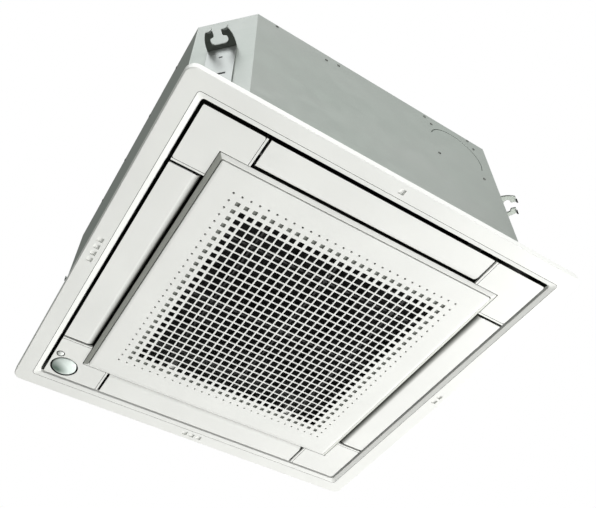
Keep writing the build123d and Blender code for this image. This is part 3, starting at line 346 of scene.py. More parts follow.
# the receiver's dome is clear in front, and its sunk gap is painted dark as shade
receiverLook = {"roughness": 0.18, "roughSpread": 0.06, "coat": 0.6, "speck": 500.0, "speckShare": 0.03,
                "gapZ": -0.00912, "paintedGapShadeShare": 0.97, "gap": (0.02, 0.022, 0.02), "depth": 0.00002,
                "strength": 0.2, "edge": 0.0}


def receiverPlastic(name, color):
    finish = Finish(name, color, receiverLook["roughness"], Coat_Weight=receiverLook["coat"])
    gap = finish.axes()[2] > receiverLook["gapZ"]
    fine = finish.noise(receiverLook["speck"])
    share = gap * receiverLook["paintedGapShadeShare"] + fine * receiverLook["speckShare"]
    return finish.dress(finish.mix(share, color, receiverLook["gap"]), fine, receiverLook)


# beads or cells of a foam, pushed in between
foamLook = {"gap": 0.25, "beadShare": 0.6, "blotch": 12, "blotchShare": 0.4, "dark": 0.72, "roughLow": 0.08,
            "roughSpread": 0.1, "strength": 0.7}


def foam(name, color, cell, depth, roughness):
    finish = Finish(name, color, roughness)
    bead = finish.add("TexVoronoi", {"feature": "DISTANCE_TO_EDGE"}, finish.place(), Scale=cell)
    rise = finish.ramp(Signal(finish, bead.outputs["Distance"]), 0.0, foamLook["gap"])
    blotch = finish.noise(cell / foamLook["blotch"], 3)
    share = rise * foamLook["beadShare"] + blotch * foamLook["blotchShare"]
    finish.feed("Base Color", finish.mix(share, dimmed(color, foamLook["dark"]), color))
    finish.feed("Roughness", roughness - foamLook["roughLow"] + blotch * foamLook["roughSpread"])
    finish.bump(rise, depth, foamLook["strength"])
    return finish.mat


# drawn copper with darker oxide clouds and a fine grain
copperLook = {"roughness": 0.28, "metallic": 0.95, "cloud": 22.0, "cloudRamp": (0.42, 0.68),
              "oxide": (0.42, 0.20, 0.13), "roughLow": 0.22, "roughSpread": 0.22, "grain": 300.0,
              "grainDepth": 0.00002, "grainStrength": 0.3}


def copperTube(name, color):
    finish = Finish(name, color, copperLook["roughness"], copperLook["metallic"])
    cloud = finish.ramp(finish.noise(copperLook["cloud"], 4, 0.6), *copperLook["cloudRamp"])
    finish.feed("Base Color", finish.mix(cloud, color, copperLook["oxide"]))
    finish.feed("Roughness", copperLook["roughLow"] + cloud * copperLook["roughSpread"])
    finish.bump(finish.noise(copperLook["grain"]), copperLook["grainDepth"], copperLook["grainStrength"])
    return finish.mat


white = (0.865, 0.868, 0.845)
finishes = {
    "panel_white": mouldedPlastic("panelPlastic", white, paintAirWayShade),
    "flap_white": mouldedPlastic("flapPlastic", white, shadeFlap),
    "grille_white": mouldedPlastic("grillePlastic", white, shadeGrille),
    "latch_white": mouldedPlastic("latchPlastic", (0.78, 0.78, 0.76)),
    "lens_plastic": milkyDomeWithPaintedShade("lensPlastic"),
    "black_plastic": plain("blackPlastic", (0.006, 0.006, 0.0065), 0.55, Specular_IOR_Level=0.25),
    "window_plastic": receiverPlastic("windowPlastic", (0.84, 0.86, 0.84)),
    "galvanised": galvanised("galvanisedSheet", (0.475, 0.50, 0.48), 0.42, 0.75, darkenKnockOutLine),
    "hanger_steel": galvanised("hangerSteel", (0.52, 0.535, 0.53), 0.34, 0.9, paintHookShade),
    "screw_steel": plain("zincPlate", (0.16, 0.165, 0.155), 0.40, 0.8),
    "seal_foam": foam("sealFoam", (0.03, 0.03, 0.03), 900.0, 0.0002, 0.95),
    "pan_foam": foam("panFoam", (0.80, 0.80, 0.78), 330.0, 0.0003, 0.85),
    "wall_foam": foam("wallFoam", (0.035, 0.035, 0.038), 500.0, 0.0003, 0.95),
    "filter_plastic": plain("filterPlastic", (0.015, 0.015, 0.015), 0.6),
    "filter_cloth": plain("filterCloth", (0.010, 0.010, 0.010), 0.9),
    "fan_plastic": plain("fanPlastic", (0.05, 0.05, 0.052), 0.5, edge=0.0004),
    "motor_paint": plain("motorPaint", (0.08, 0.085, 0.09), 0.45, 0.3, edge=0.0005),
    "rubber_black": plain("blackRubber", (0.02, 0.02, 0.02), 0.8),
    "aluminium_fin": plain("aluminiumFin", (0.66, 0.69, 0.72), 0.35, 0.9),
    "copper": copperTube("copperTube", (0.78, 0.36, 0.21)),
    "brass": plain("brassNut", (0.75, 0.56, 0.25), 0.28, 0.95, edge=0.0004),
    "grey_plastic": plain("greyPlastic", (0.20, 0.21, 0.22), 0.5, edge=0.0003),
    "hose_plastic": plain("hosePlastic", (0.55, 0.58, 0.58), 0.4),
    "board_green": plain("boardGreen", (0.03, 0.14, 0.06), 0.35),
    "terminal_plastic": plain("terminalPlastic", (0.62, 0.58, 0.45), 0.45, edge=0.0003),
}
slotOf = {part["node"]: part["material_slot"] for part in frame["record"]["subparts"]}
for name, node in nodes.items():
    node.data.materials.clear()
    node.data.materials.append(finishes[slotOf[name]])
print("finishes made:", len(finishes))


# points round a circle, from its first axis to its second
def circle(r, steps):
    return [(r * math.cos(math.tau * n / steps), r * math.sin(math.tau * n / steps)) for n in range(steps)]


def spun(x, y, turn):
    return x * math.cos(turn) - y * math.sin(turn), x * math.sin(turn) + y * math.cos(turn)


# an object in the scene that carries this data
def placed(name, data):
    made = bpy.data.objects.new(name, data)
    bpy.context.collection.objects.link(made)
    return made


# straight runs through these points with a rounded bevel; those on a plane are closed
def bevelled(name, dimensions, lines, bevel, resolution):
    data = bpy.data.curves.new(name, "CURVE")
    data.dimensions = dimensions
    data.bevel_depth = bevel
    data.bevel_resolution = resolution
    for points in lines:
        run = data.splines.new("POLY")
        run.points.add(len(points) - 1)
        for point, place in zip(run.points, points):
            point.co = (*place, 1)
        run.use_cyclic_u = dimensions == "2D"
    return data


# a mesh built face by face in millimetres; points that meet are one vertex
class Sheet:
    def __init__(self):
        self.mesh = bmesh.new()
        self.spots = {}

    def spot(self, point):
        key = tuple(round(c, 3) for c in point)
        if key not in self.spots:
            self.spots[key] = self.mesh.verts.new([c * mm for c in point])
        return self.spots[key]

    def face(self, points):
        corners = []
        for point in points:
            corner = self.spot(point)
            if corner not in corners:
                corners.append(corner)
        if len(corners) > 2 and not self.mesh.faces.get(corners):
            self.mesh.faces.new(corners)

    # walls between rings of as many points each; cap closes the first and last
    def loft(self, rings, cap=False):
        for low, high in zip(rings, rings[1:]):
            for n in range(len(low)):
                m = (n + 1) % len(low)
                self.face([low[n], low[m], high[m], high[n]])
        if cap:
            self.face(rings[0][::-1])
            self.face(rings[-1])

    def brick(self, x0, x1, y0, y1, z0, z1):
        rings = [[(x0, y0, z), (x1, y0, z), (x1, y1, z), (x0, y1, z)] for z in (z0, z1)]
        self.loft(rings, True)

    # a tube or rod of that profile (radius, height) turned about a line through middle along Z
    def turn(self, middle, profile, steps, cap=True):
        rings = [[(middle[0] + x, middle[1] + y, z) for x, y in circle(r, steps)] for r, z in profile]
        self.loft(rings, cap)

    def turnAll(self, matrix):
        bmesh.ops.transform(self.mesh, matrix=matrix, verts=self.mesh.verts)

    # adds a mesh given in millimetres, moved by matrix
    def add(self, data, matrix):
        data.transform(Matrix.Scale(mm, 4) @ matrix)
        self.mesh.from_mesh(data)
        bpy.data.meshes.remove(data)

    def handOver(self, name):
        data = bpy.data.meshes.new(name)
        self.mesh.to_mesh(data)
        self.mesh.free()
        return data

    def join(self, other):
        data = other.handOver("join")
        self.mesh.from_mesh(data)
        bpy.data.meshes.remove(data)

    def piece(self, name, body, slot, stands=(), sharp=30.0):
        bmesh.ops.recalc_face_normals(self.mesh, faces=self.mesh.faces)
        data = self.handOver(name)
        data.shade_smooth()
        data.set_sharp_from_angle(angle=math.radians(sharp))
        data.materials.append(finishes[slot])
        made = placed(name, data)
        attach(made, body)
        if stands:
            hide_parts(*stands)
        return made


# points of a square with rounded corners, at the same places along each side whatever its size
def squareRing(half, cornerR, z, marks, steps=4):
    ring = []
    for k in range(4):
        turn = math.pi / 2 * k
        side = [(half, v) for v in marks]
        for n in range(steps + 1):
            angle, start = math.pi / 2 * n / steps, half - cornerR
            side.append((start + cornerR * math.cos(angle), start + cornerR * math.sin(angle)))
        ring += [(*spun(x, y, turn), z) for x, y in side]
    return ring


# the intake grille: square holes with softened rims, a row of shallow squares and one of round holes
grille = {"face": -12.95, "back": -10.45, "top": -8.2, "pitch": 13.05, "reach": 14, "holeSide": 10.7,
          "edgeSide": 8.3, "blindRow": 13, "blindSide": 6.4, "blindDepth": 1.8, "blindDraft": 0.3,
          "blindCorner": 0.6, "dotR": 1.65, "soften": 0.2, "holeCorner": 0.8, "pocket": 213.0,
          "faceHalf": 218.0, "faceSoften": 0.35, "faceEase": 0.3, "groove": 1.3, "grooveDepth": 1.5,
          "stepZ": -11.75, "stepSoften": 0.1, "half": 225.3, "slopeZ": -9.2, "slopeSoften": 0.3,
          "cornerR": 2.5, "hingeX": 150.0, "hingeY": -219.0, "hingeZ": -6.5, "latchX": 104.4,
          "notchHalf": 3.5, "notchFront": 4.3, "notchBack": 5.0, "notchDrop": 3.0}


def holeRing(middle, side, cornerR, z, steps):
    return [(middle[0] + x, middle[1] + y, z) for x, y, z in squareRing(side / 2, cornerR, z, [], steps)]


def cellCorners(middle, z):
    half = grille["pitch"] / 2
    return [(middle[0] + sx * half, middle[1] + sy * half, z)
            for sx, sy in ((1, 1), (-1, 1), (-1, -1), (1, -1))]


# one plate cell round a hole: its square outline joined to the hole's first ring
def holeRim(plate, middle, ring, z):
    quarter = len(ring) // 4
    corners = cellCorners(middle, z)
    for k in range(4):
        arc = ring[k * quarter:(k + 1) * quarter]
        for a, b in zip(arc, arc[1:]):
            plate.face([corners[k], a, b])
        plate.face([corners[k], arc[-1], ring[(k + 1) * quarter % len(ring)], corners[(k + 1) % 4]])


# side, corner radius and corner steps of the holes in one row, counted from the middle
def holeSize(row):
    if row > grille["blindRow"]:
        return 2 * grille["dotR"], grille["dotR"], 3
    if row == grille["blindRow"]:
        return grille["blindSide"], grille["blindCorner"], 2
    side = grille["edgeSide"] if row == grille["blindRow"] - 1 else grille["holeSide"]
    return side, grille["holeCorner"], 2


def grilleCell(plate, i, j):
    middle = (i * grille["pitch"], j * grille["pitch"])
    row = max(abs(i), abs(j))
    front, back, soft = grille["face"], grille["back"], grille["soften"]
    side, r, steps = holeSize(row)
    walls = [holeRing(middle, side + 2 * soft, r + soft, front, steps),
             holeRing(middle, side, r, front + soft, steps)]
    if row == grille["blindRow"]:
        walls += [holeRing(middle, side - grille["blindDraft"], r, front + grille["blindDepth"], steps)]
    else:
        walls += [holeRing(middle, side, r, back - soft, steps),
                  holeRing(middle, side + 2 * soft, r + soft, back, steps)]
    holeRim(plate, middle, walls[0], front)
    plate.loft(walls)
    if row == grille["blindRow"]:
        plate.face(walls[-1])
        plate.face(cellCorners(middle, back))
    else:
        holeRim(plate, middle, walls[-1], back)


def makeGrille():
    plate = Sheet()
    reach = grille["reach"]
    for i in range(-reach, reach + 1):
        for j in range(-reach, reach + 1):
            grilleCell(plate, i, j)
    marks = [(n - 0.5) * grille["pitch"] for n in range(-reach, reach + 2)]
    face, back, top, r = grille["face"], grille["back"], grille["top"], grille["cornerR"]
    soft, ease = grille["faceSoften"], grille["faceSoften"] * grille["faceEase"]
    faceHalf, half, pocket = grille["faceHalf"], grille["half"], grille["pocket"]
    grooveHalf, grooveTop = faceHalf + grille["groove"], grille["stepZ"] + grille["grooveDepth"]
    step, slope = grille["stepSoften"], grille["slopeSoften"]
    outline = [(marks[-1], 0, face), (pocket, 0, face), (faceHalf - soft, r, face),
               (faceHalf - ease, r, face + ease), (faceHalf, r, face + soft), (faceHalf, r, grooveTop),
               (grooveHalf, r, grooveTop), (grooveHalf, r, grille["stepZ"] + step),
               (grooveHalf + step, r, grille["stepZ"]), (half - slope, r, grille["slopeZ"] - slope / 2),
               (half, r, grille["slopeZ"] + step), (half, r, top), (pocket, 0, top), (pocket, 0, back),
               (marks[-1], 0, back)]
    plate.loft([squareRing(reachOut, cornerR, z, marks) for reachOut, cornerR, z in outline])
    made = plate.piece("intakeGrille", "grille", "grille_white", ["intake_grille"], 35.0)
    cutHingeNotches(made)


# room for the frame's two hinge lugs
def cutHingeNotches(made):
    knife = Sheet()
    for x in (-grille["hingeX"], grille["hingeX"]):
        knife.brick(x - grille["notchHalf"], x + grille["notchHalf"], grille["hingeY"] - grille["notchFront"],
                    grille["notchBack"] - grille["pocket"], grille["hingeZ"] - grille["notchDrop"], 0)
    bmesh.ops.recalc_face_normals(knife.mesh, faces=knife.mesh.faces)
    cutter = placed("notches", knife.handOver("notches"))
    cut = made.modifiers.new("notches", "BOOLEAN")
    cut.object = cutter
    cut.operation = "DIFFERENCE"
    with bpy.context.temp_override(object=made, active_object=made, selected_objects=[made]):
        bpy.ops.object.modifier_apply(modifier="notches")
    bpy.data.objects.remove(cutter)


# the hinge ears and latch guides on the grille's back
ear = {"from": 3.5, "to": 6.5, "bore": 1.62, "r": 2.6, "steps": 24, "soften": 0.3, "footFrom": 1.7,
       "footTo": 2.5, "footZ": -8.7}
guide = {"from": 5.3, "to": 7.3, "start": 180.0, "end": 213.5, "low": -10.95, "high": -0.9, "stopEnd": 186.0,
         "stopHigh": -5.3, "strapHalf": 6.3, "strapStart": 194.0, "strapEnd": 204.0, "strapLow": -2.1}


def makeEar(fittings, x, s):
    x0, x1 = sorted((x + s * ear["from"], x + s * ear["to"]))
    y, z, bore, r, soft = grille["hingeY"], grille["hingeZ"], ear["bore"], ear["r"], ear["soften"]
    profile = [(bore, x0), (r - soft, x0), (r, x0 + soft), (r, x1 - soft), (r - soft, x1), (bore, x1)]
    fittings.loft([[(place, y + a, z + b) for a, b in circle(size, ear["steps"])]
                   for size, place in profile + profile[:1]])
    fittings.brick(x0, x1, y - ear["footTo"], y - ear["footFrom"], ear["footZ"], z)
    fittings.brick(x0, x1, y + ear["footFrom"], y + ear["footTo"], ear["footZ"], z)


def makeGuide(fittings, x):
    for s in (-1, 1):
        x0, x1 = sorted((x + s * guide["from"], x + s * guide["to"]))
        fittings.brick(x0, x1, guide["start"], guide["end"], guide["low"], guide["high"])
    fittings.brick(x - guide["from"], x + guide["from"], guide["start"], guide["stopEnd"], guide["low"],
                   guide["stopHigh"])
    fittings.brick(x - guide["strapHalf"], x + guide["strapHalf"], guide["strapStart"], guide["strapEnd"],
                   guide["strapLow"], guide["high"])


def makeGrilleFittings():
    fittings = Sheet()
    for x in (-grille["hingeX"], grille["hingeX"]):
        for s in (-1, 1):
            makeEar(fittings, x, s)
    for x in (-grille["latchX"], grille["latchX"]):
        makeGuide(fittings, x)
    fittings.piece("grilleFittings", "grille", "grille_white")


# the latches' springs
spring = {"start": 186.5, "length": 19.0, "z": -7.725, "r": 1.8, "wire": 0.25, "turns": 8, "steps": 20,
          "sides": 8, "anchorY": 186.0, "keep": 0.7}


def springRings(x):
    rings = []
    count = spring["turns"] * spring["steps"]
    for n in range(count + 1):
        angle = math.tau * spring["turns"] * n / count
        y = spring["start"] + spring["length"] * n / count
        ring = []
        for across, along in circle(spring["wire"], spring["sides"]):
            out = spring["r"] + across
            ring.append((x + out * math.cos(angle), y + along, spring["z"] + out * math.sin(angle)))
        rings.append(ring)
    return rings


def makeSprings():
    for side, x in (("left", -grille["latchX"]), ("right", grille["latchX"])):
        coilSpring = Sheet()
        coilSpring.loft(springRings(x), True)
        made = coilSpring.piece("latchSpring" + side.capitalize(), "grille", slotOf["latch_spring_" + side],
                                ["latch_spring_" + side], 60.0)
        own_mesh(made)


makeGrille()
makeGrilleFittings()
makeSprings()
print("intake grille made")


# the filter's net: crossed threads, cut out where the latches pass
net = {"half": 174.0, "z": -6.45, "pitch": 1.5, "thread": 0.42, "thick": 0.3, "crossLow": 0.25,
       "crossHigh": 0.5, "notchX": 104.4, "notchHalf": 8.0, "notchY": 142.0}


def netRuns(place):
    reach = net["half"]
    if abs(abs(place) - net["notchX"]) < net["notchHalf"]:
        return [(-reach, net["notchY"])]
    return [(-reach, reach)]


def crossRuns(place):
    reach, near, far = net["half"], net["notchX"] - net["notchHalf"], net["notchX"] + net["notchHalf"]
    if place > net["notchY"]:
        return [(-reach, -far), (-near, near), (far, reach)]
    return [(-reach, reach)]


def makeNet():
    cloth = Sheet()
    half, low = net["thread"] / 2, net["z"]
    count = int(net["half"] / net["pitch"])
    for n in range(-count, count + 1):
        place = n * net["pitch"]
        for start, end in netRuns(place):
            cloth.brick(place - half, place + half, start, end, low, low + net["thick"])
        for start, end in crossRuns(place):
            cloth.brick(start, end, place - half, place + half, low + net["crossLow"], low + net["crossHigh"])
    cloth.piece("filterNet", "grille", "filter_cloth", ["filter_mesh"])


makeNet()

# the heat exchanger: thin wavy fins along a square path with round corners, and the tubes through them
coil = {"middle": 196.0, "bend": 56.0, "depth": 36.0, "low": 60.0, "top": 289.0, "end": 150.0, "pitch": 2.0,
        "finThick": 0.18, "ease": 0.2, "wave": 0.5, "waves": 6, "rows": (-10.0, 10.0), "tubes": 5,
        "tubeR": 3.5, "bendR": 10.5, "tubeStep": 14.0}


# places and outward directions along the coil's middle, from its end on +X round to its end on +Y
def coilPath(step):
    straight = coil["middle"] - coil["bend"]
    arc = coil["bend"] * math.pi / 2
    first = math.asin((coil["end"] - straight) / coil["bend"])
    places = []
    total = 8 * straight + 3 * arc + 2 * first * coil["bend"]
    count = int(total / step)
    for n in range(count + 1):
        s = n * total / count
        places.append(coilPlace(s, straight, arc, first))
    return places


def coilPlace(s, straight, arc, first):
    lead = first * coil["bend"]
    if s < lead:
        angle = first - s / coil["bend"]
        return arcPlace(straight, straight, angle, 0)
    s -= lead
    for side in range(4):
        turn = -math.pi / 2 * side
        if s <= 2 * straight:
            x, y = coil["middle"], straight - s
            return spun(x, y, turn), spun(1, 0, turn)
        s -= 2 * straight
        if side == 3 or s <= arc:
            return arcPlace(straight, -straight, -s / coil["bend"], turn)
        s -= arc


def arcPlace(cx, cy, angle, turn):
    out = (math.cos(angle), math.sin(angle))
    return spun(cx + coil["bend"] * out[0], cy + coil["bend"] * out[1], turn), spun(*out, turn)


def makeFins():
    fins = Sheet()
    half = coil["finThick"] / 2
    count = coil["waves"] + 1
    heights = (coil["low"] + coil["ease"], coil["top"] - coil["ease"])
    for (x, y), (ox, oy) in coilPath(coil["pitch"]):
        faces = [[], []]
        for n in range(count):
            out = coil["depth"] * (n / coil["waves"] - 0.5)
            for side, face in zip((-half, half), faces):
                sway = coil["wave"] * (n % 2 - 0.5) + side
                face.append((x + ox * out - oy * sway, y + oy * out + ox * sway))
        rings = [[(px, py, z) for px, py in faces[0] + faces[1][::-1]] for z in heights]
        fins.loft(rings)
        for ring in rings:
            for n in range(count - 1):
                fins.face([ring[n], ring[n + 1], ring[2 * count - 2 - n], ring[2 * count - 1 - n]])
    fins.piece("coilFins", "unit", "aluminium_fin", ["coil_fins"])


def makeCoilRuns():
    step = (coil["top"] - coil["low"]) / coil["tubes"]
    places = coilPath(coil["tubeStep"])
    runs = []
    for level in range(coil["tubes"]):
        for row in coil["rows"]:
            for lift in (-coil["bendR"], coil["bendR"]):
                z = coil["low"] + (level + 0.5) * step + lift
                runs.append([((x + ox * row) * mm, (y + oy * row) * mm, z * mm)
                             for (x, y), (ox, oy) in places])
    data = bevelled("coilRuns", "3D", runs, coil["tubeR"] * mm, 3)
    data.materials.append(finishes["copper"])
    made = placed("coilRuns", data)
    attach(made, "unit")


makeFins()
makeCoilRuns()
print("net and heat exchanger made")


# the casing's pan-head screws, each with a cross recess: a row on three sides, and on the fourth four round
# the knock-out and five more
screw = {"headR": 2.6, "head": 1.0, "edge": 0.25, "shoulder": 0.2, "dome": 0.65, "flat": 0.7, "lift": 0.02,
         "shankR": 1.45, "shank": 2.2, "cross": 1.7, "crossWidth": 0.38, "crossDepth": 0.75, "steps": 32,
         "crossFoot": 0.35, "crossDraft": 0.85, "casing": 290.0, "twist": 1.3, "row": (-150, -50, 50, 150),
         "rowZ": 294.0, "knockOutX": 150.9, "knockOutZ": 232.2, "knockOutHalf": 45.25,
         "loose": ((-189.5, 296.0), (-100.0, 281.5), (-77.0, 288.5), (94.0, 291.0), (187.5, 297.0))}


# each screw's place along its side, its height, and its side
def screwPlaces():
    rows = [(v, screw["rowZ"], side) for side in range(3) for v in screw["row"]]
    x, z, half = screw["knockOutX"], screw["knockOutZ"], screw["knockOutHalf"]
    corners = [(x + a, z + b, 3) for a in (-half, half) for b in (-half, half)]
    return rows + corners + [(v, z, 3) for v, z in screw["loose"]]


def crossRing(scale, z):
    ring = []
    for n in range(screw["steps"]):
        angle = math.tau * n / screw["steps"]
        fold = abs((angle + math.pi / 4) % (math.pi / 2) - math.pi / 4)
        reach = min(screw["cross"] / math.cos(fold), screw["crossWidth"] / max(math.sin(fold), 1e-3))
        ring.append((reach * scale * math.cos(angle), reach * scale * math.sin(angle), z))
    return ring


def roundRing(r, z):
    return [(x, y, z) for x, y in circle(r, screw["steps"])]


# from the foot of the recess out over the head and down the shank
def screwRings():
    top, r, shankR = screw["head"], screw["headR"], screw["shankR"]
    return [crossRing(screw["crossFoot"], top - screw["crossDepth"]),
            crossRing(screw["crossDraft"], top - screw["edge"]), crossRing(1.0, top),
            roundRing(r - screw["flat"], top), roundRing(r - screw["shoulder"], top - screw["edge"]),
            roundRing(r, top - screw["dome"]), roundRing(r, screw["lift"]), roundRing(shankR, screw["lift"]),
            roundRing(shankR, -screw["shank"])]


def makeScrews():
    heads = Sheet()
    stand = Matrix(((0, 0, 1), (1, 0, 0), (0, 1, 0)))
    for n, (v, z, side) in enumerate(screwPlaces()):
        twist = Matrix.Rotation(n * screw["twist"], 3, "Z")
        turn = Matrix.Rotation(math.pi / 2 * side, 3, "Z")
        place = Vector((screw["casing"], v, z))
        rings = [[tuple(turn @ (stand @ (twist @ Vector(p)) + place)) for p in ring] for ring in screwRings()]
        heads.loft(rings, True)
    heads.piece("casingScrews", "unit", "screw_steel", ["casing_screws"])


makeScrews()

# the sensor: a glossy dome in a sunk black ring, and the receiver's small window beside it
sensor = {"x": -248.0, "y": 247.0, "faceZ": -9.2, "lensR": 18.4, "sag": 4.4, "lensEdge": 0.25,
          "lensLip": 0.3, "depth": 8.0, "ringGap": 0.5, "ringR": 21.3, "sunk": 4.5, "soften": 0.2,
          "rim": 0.15, "ringLip": 0.1, "windowX": -263.0, "windowY": 221.5, "windowR": 4.9,
          "windowSag": 1.7, "windowEdge": 0.1, "windowGap": 6.4, "windowLip": 0.16, "windowSunk": 2.4,
          "windowDepth": 3.5}


def domeProfile(r, sag, edgeZ, steps):
    ball = (r * r + sag * sag) / (2 * sag)
    profile = []
    for n in range(1, steps + 1):
        out = r * n / steps
        profile.append((out, edgeZ - sag + ball - math.sqrt(ball * ball - out * out)))
    return profile


def makeLens(place, face, foot):
    r = sensor["lensR"]
    edge = r + sensor["lensEdge"]
    lens = Sheet()
    dome = domeProfile(r, sensor["sag"], face, 14)
    lens.turn(place, dome + [(edge, face + sensor["lensLip"]), (edge, foot)], 72)
    lens.piece("sensorLens", "unit", "lens_plastic", ["sensor_lens"], 50.0)


def makeRing(place, face, foot):
    inner, outer, sunk = sensor["lensR"] + sensor["ringGap"], sensor["ringR"], face + sensor["sunk"]
    soft, lip = sensor["soften"], face + sensor["ringLip"]
    ring = Sheet()
    ring.turn(place, [(inner, sunk + soft), (inner + soft, sunk), (outer - 2 * soft, sunk),
                      (outer - soft, sunk - soft), (outer - sensor["rim"], lip), (outer, lip), (outer, foot),
                      (inner, foot), (inner, sunk + soft)], 72, False)
    ring.piece("sensorRing", "unit", "black_plastic", ["sensor_bezel"], 50.0)


def makeWindow(face):
    edge, gap = sensor["windowR"] + sensor["windowEdge"], sensor["windowGap"]
    soft, lip, sunk = sensor["soften"], face + sensor["windowLip"], face + sensor["windowSunk"]
    dome = domeProfile(sensor["windowR"], sensor["windowSag"], face, 8)
    window = Sheet()
    window.turn((sensor["windowX"], sensor["windowY"]),
                dome + [(edge, face + soft), (edge, sunk), (gap - soft, sunk), (gap - sensor["rim"], lip),
                        (gap, lip), (gap, face + sensor["windowDepth"])], 40)
    window.piece("receiverWindow", "unit", "window_plastic", ["receiver_window"], 35.0)


def makeSensor():
    place, face = (sensor["x"], sensor["y"]), sensor["faceZ"]
    foot = face + sensor["depth"]
    makeLens(place, face, foot)
    makeRing(place, face, foot)
    makeWindow(face)


makeSensor()
print("screws and sensor made")


# the hanger hooks: an open slot for the bolt, curved arms with a turned-up barb, and a slotted leg down
# the casing
hook = {"reach": 29.4, "half": 21.5, "tipHalf": 17.6, "sheet": 3.0, "lap": 0.4, "top": 195.5, "foot": 60.0,
        "slotHalf": 12.8, "slotR": 6.3, "neck": 0.75, "mouth": 6.2, "mouthR": 1.2, "boltLine": 378.4,
        "edge": 0.35, "casing": 290.0, "chamfer": 67.0, "sensorChamferX": 110.0,
        "sensorChamferY": 40.0, "tipR": 2.5, "tipSet": 2.3,
        "taper": ((22, 0.0), (15, 0.3), (9, 1.4), (4.5, 3.0)), "throat": ((2.4, 0.0), (1.0, 0.5), (0.3, 1.6)),
        "slots": ((-2.3, 2.9, 160.9, 165.3), (-3.0, 11.0, 108.2, 113.2))}
wallOut = (2 * hook["casing"] - hook["chamfer"]) / math.sqrt(2)  # from the middle to a chamfered wall
tipOut = wallOut + hook["reach"]  # and to the tips of a hook's arms


# turn, distance and sideways shift of the wall that carries hook k, and its slant to the hook
def hookWall(k):
    if k != 1:
        return {"turn": math.radians(45 + 90 * k), "distance": wallOut, "shift": 0.0, "slant": 0.0}
    slant = math.pi / 4 - math.atan2(hook["sensorChamferY"], hook["sensorChamferX"])
    turn = math.radians(135) - slant
    distance = (hook["casing"] - hook["sensorChamferY"]) * math.sin(turn) - hook["casing"] * math.cos(turn)
    return {"turn": turn, "distance": distance, "shift": distance * math.tan(slant), "slant": slant}


# a sheet cut to these outlines, with softened edges, lying on XY from z = 0 up
def cutSheet(outlines):
    lines = [[(x, y, 0) for x, y in outline] for outline in outlines]
    data = bevelled("outline", "2D", lines, hook["edge"], 2)
    data.fill_mode = "BOTH"
    data.extrude = hook["sheet"] / 2 - hook["edge"]
    data.offset = -hook["edge"]
    holder = bpy.data.objects.new("outline", data)
    flat = bpy.data.meshes.new_from_object(holder)
    flat.transform(Matrix.Translation((0, 0, hook["sheet"] / 2)))
    bpy.data.objects.remove(holder)
    return flat


def arcPoints(cx, cy, r, start, end, steps):
    points = []
    for n in range(steps + 1):
        angle = math.radians(start + (end - start) * n / steps)
        points.append((cx + r * math.cos(angle), cy + r * math.sin(angle)))
    return points


# one arm's side of the plate, from the casing out round the tip and into the slot; mirrored for the other arm
def armOutline():
    mouth, bolt, tipR, mouthR = hook["mouth"], hook["boltLine"], hook["tipR"], hook["mouthR"]
    sides = [(tipOut - back, hook["half"] - inward) for back, inward in hook["taper"]]
    sides += arcPoints(tipOut - tipR, hook["tipHalf"] - hook["tipSet"], tipR, 40, 0, 4)
    sides += arcPoints(tipOut - mouthR, mouth + mouthR, mouthR, 0, -90, 4)
    neck = bolt + hook["slotR"] * hook["neck"]
    sides += [(neck + out, mouth + wider) for out, wider in hook["throat"]]
    sides += arcPoints(bolt, hook["slotHalf"] - hook["slotR"], hook["slotR"], 50, 180, 10)
    return sides


def hookPlate(wall):
    right = armOutline()
    left = [(x, -y) for x, y in right[::-1]]
    start = wall["distance"] + hook["sheet"] - hook["lap"]
    ends = [((start + y * math.sin(wall["slant"])) / math.cos(wall["slant"]), y)
            for y in (-hook["half"], hook["half"])]
    return cutSheet([[ends[1]] + right + left + [ends[0]]])


def hookLeg(shift):
    board = (-hook["half"], hook["half"], hook["foot"], hook["top"])
    return cutSheet([[(shift + v0, z0), (shift + v1, z0), (shift + v1, z1), (shift + v0, z1)]
                     for v0, v1, z0, z1 in (board, *hook["slots"])])


# a barb along the tip of each arm: low at one end, and a point that stands out at the other.
# rise holds shares of its length, of how far it stands out, and of how far its foot goes down
barb = {"height": 5.8, "out": 3.6, "lean": 1.05, "down": 5.0, "thick": 1.4, "footSunk": 0.5, "footZ": 2.0,
        "topSunk": 0.4, "topZ": 0.6, "leftInset": 1.5, "rightInset": 0.8, "slotInset": 0.2,
        "rise": ((0.0, 0.0, 0.0), (0.35, 0.10, 0.30), (0.7, 0.24, 0.75), (0.87, 0.5, 0.9), (1.0, 1.0, 1.0))}


def addBarb(sheet, y0, y1):
    low, high = [], []
    for share, out, down in barb["rise"]:
        y, x = y0 + (y1 - y0) * share, out * barb["out"]
        low.append((tipOut - barb["footSunk"] + x, y, hook["top"] - barb["footZ"] - down * barb["down"]))
        high.append((tipOut - barb["topSunk"] + x * barb["lean"], y,
                     hook["top"] - barb["topZ"] + barb["height"] * out ** 2))
    ring = low + high[::-1]
    sheet.loft([ring, [(x - barb["thick"], y, z) for x, y, z in ring]], True)


def makeHooks():
    hooks = Sheet()
    for k in range(4):
        wall = hookWall(k)
        single = Sheet()
        addBarb(single, barb["leftInset"] - hook["tipHalf"], -hook["mouth"] - barb["slotInset"])
        addBarb(single, hook["mouth"] + barb["slotInset"], hook["tipHalf"] - barb["rightInset"])
        single.add(hookPlate(wall), Matrix.Translation((0, 0, hook["top"] - hook["sheet"])))
        single.turnAll(Matrix.Rotation(math.radians(45 + 90 * k), 4, "Z"))
        stand = Matrix(((0, 0, 1, wall["distance"]), (1, 0, 0, 0), (0, 1, 0, 0), (0, 0, 0, 1)))
        single.add(hookLeg(wall["shift"]), Matrix.Rotation(wall["turn"], 4, "Z") @ stand)
        hooks.join(single)
    hooks.piece("hangerHooks", "unit", "hanger_steel", ["hanger_brackets"], 35.0)


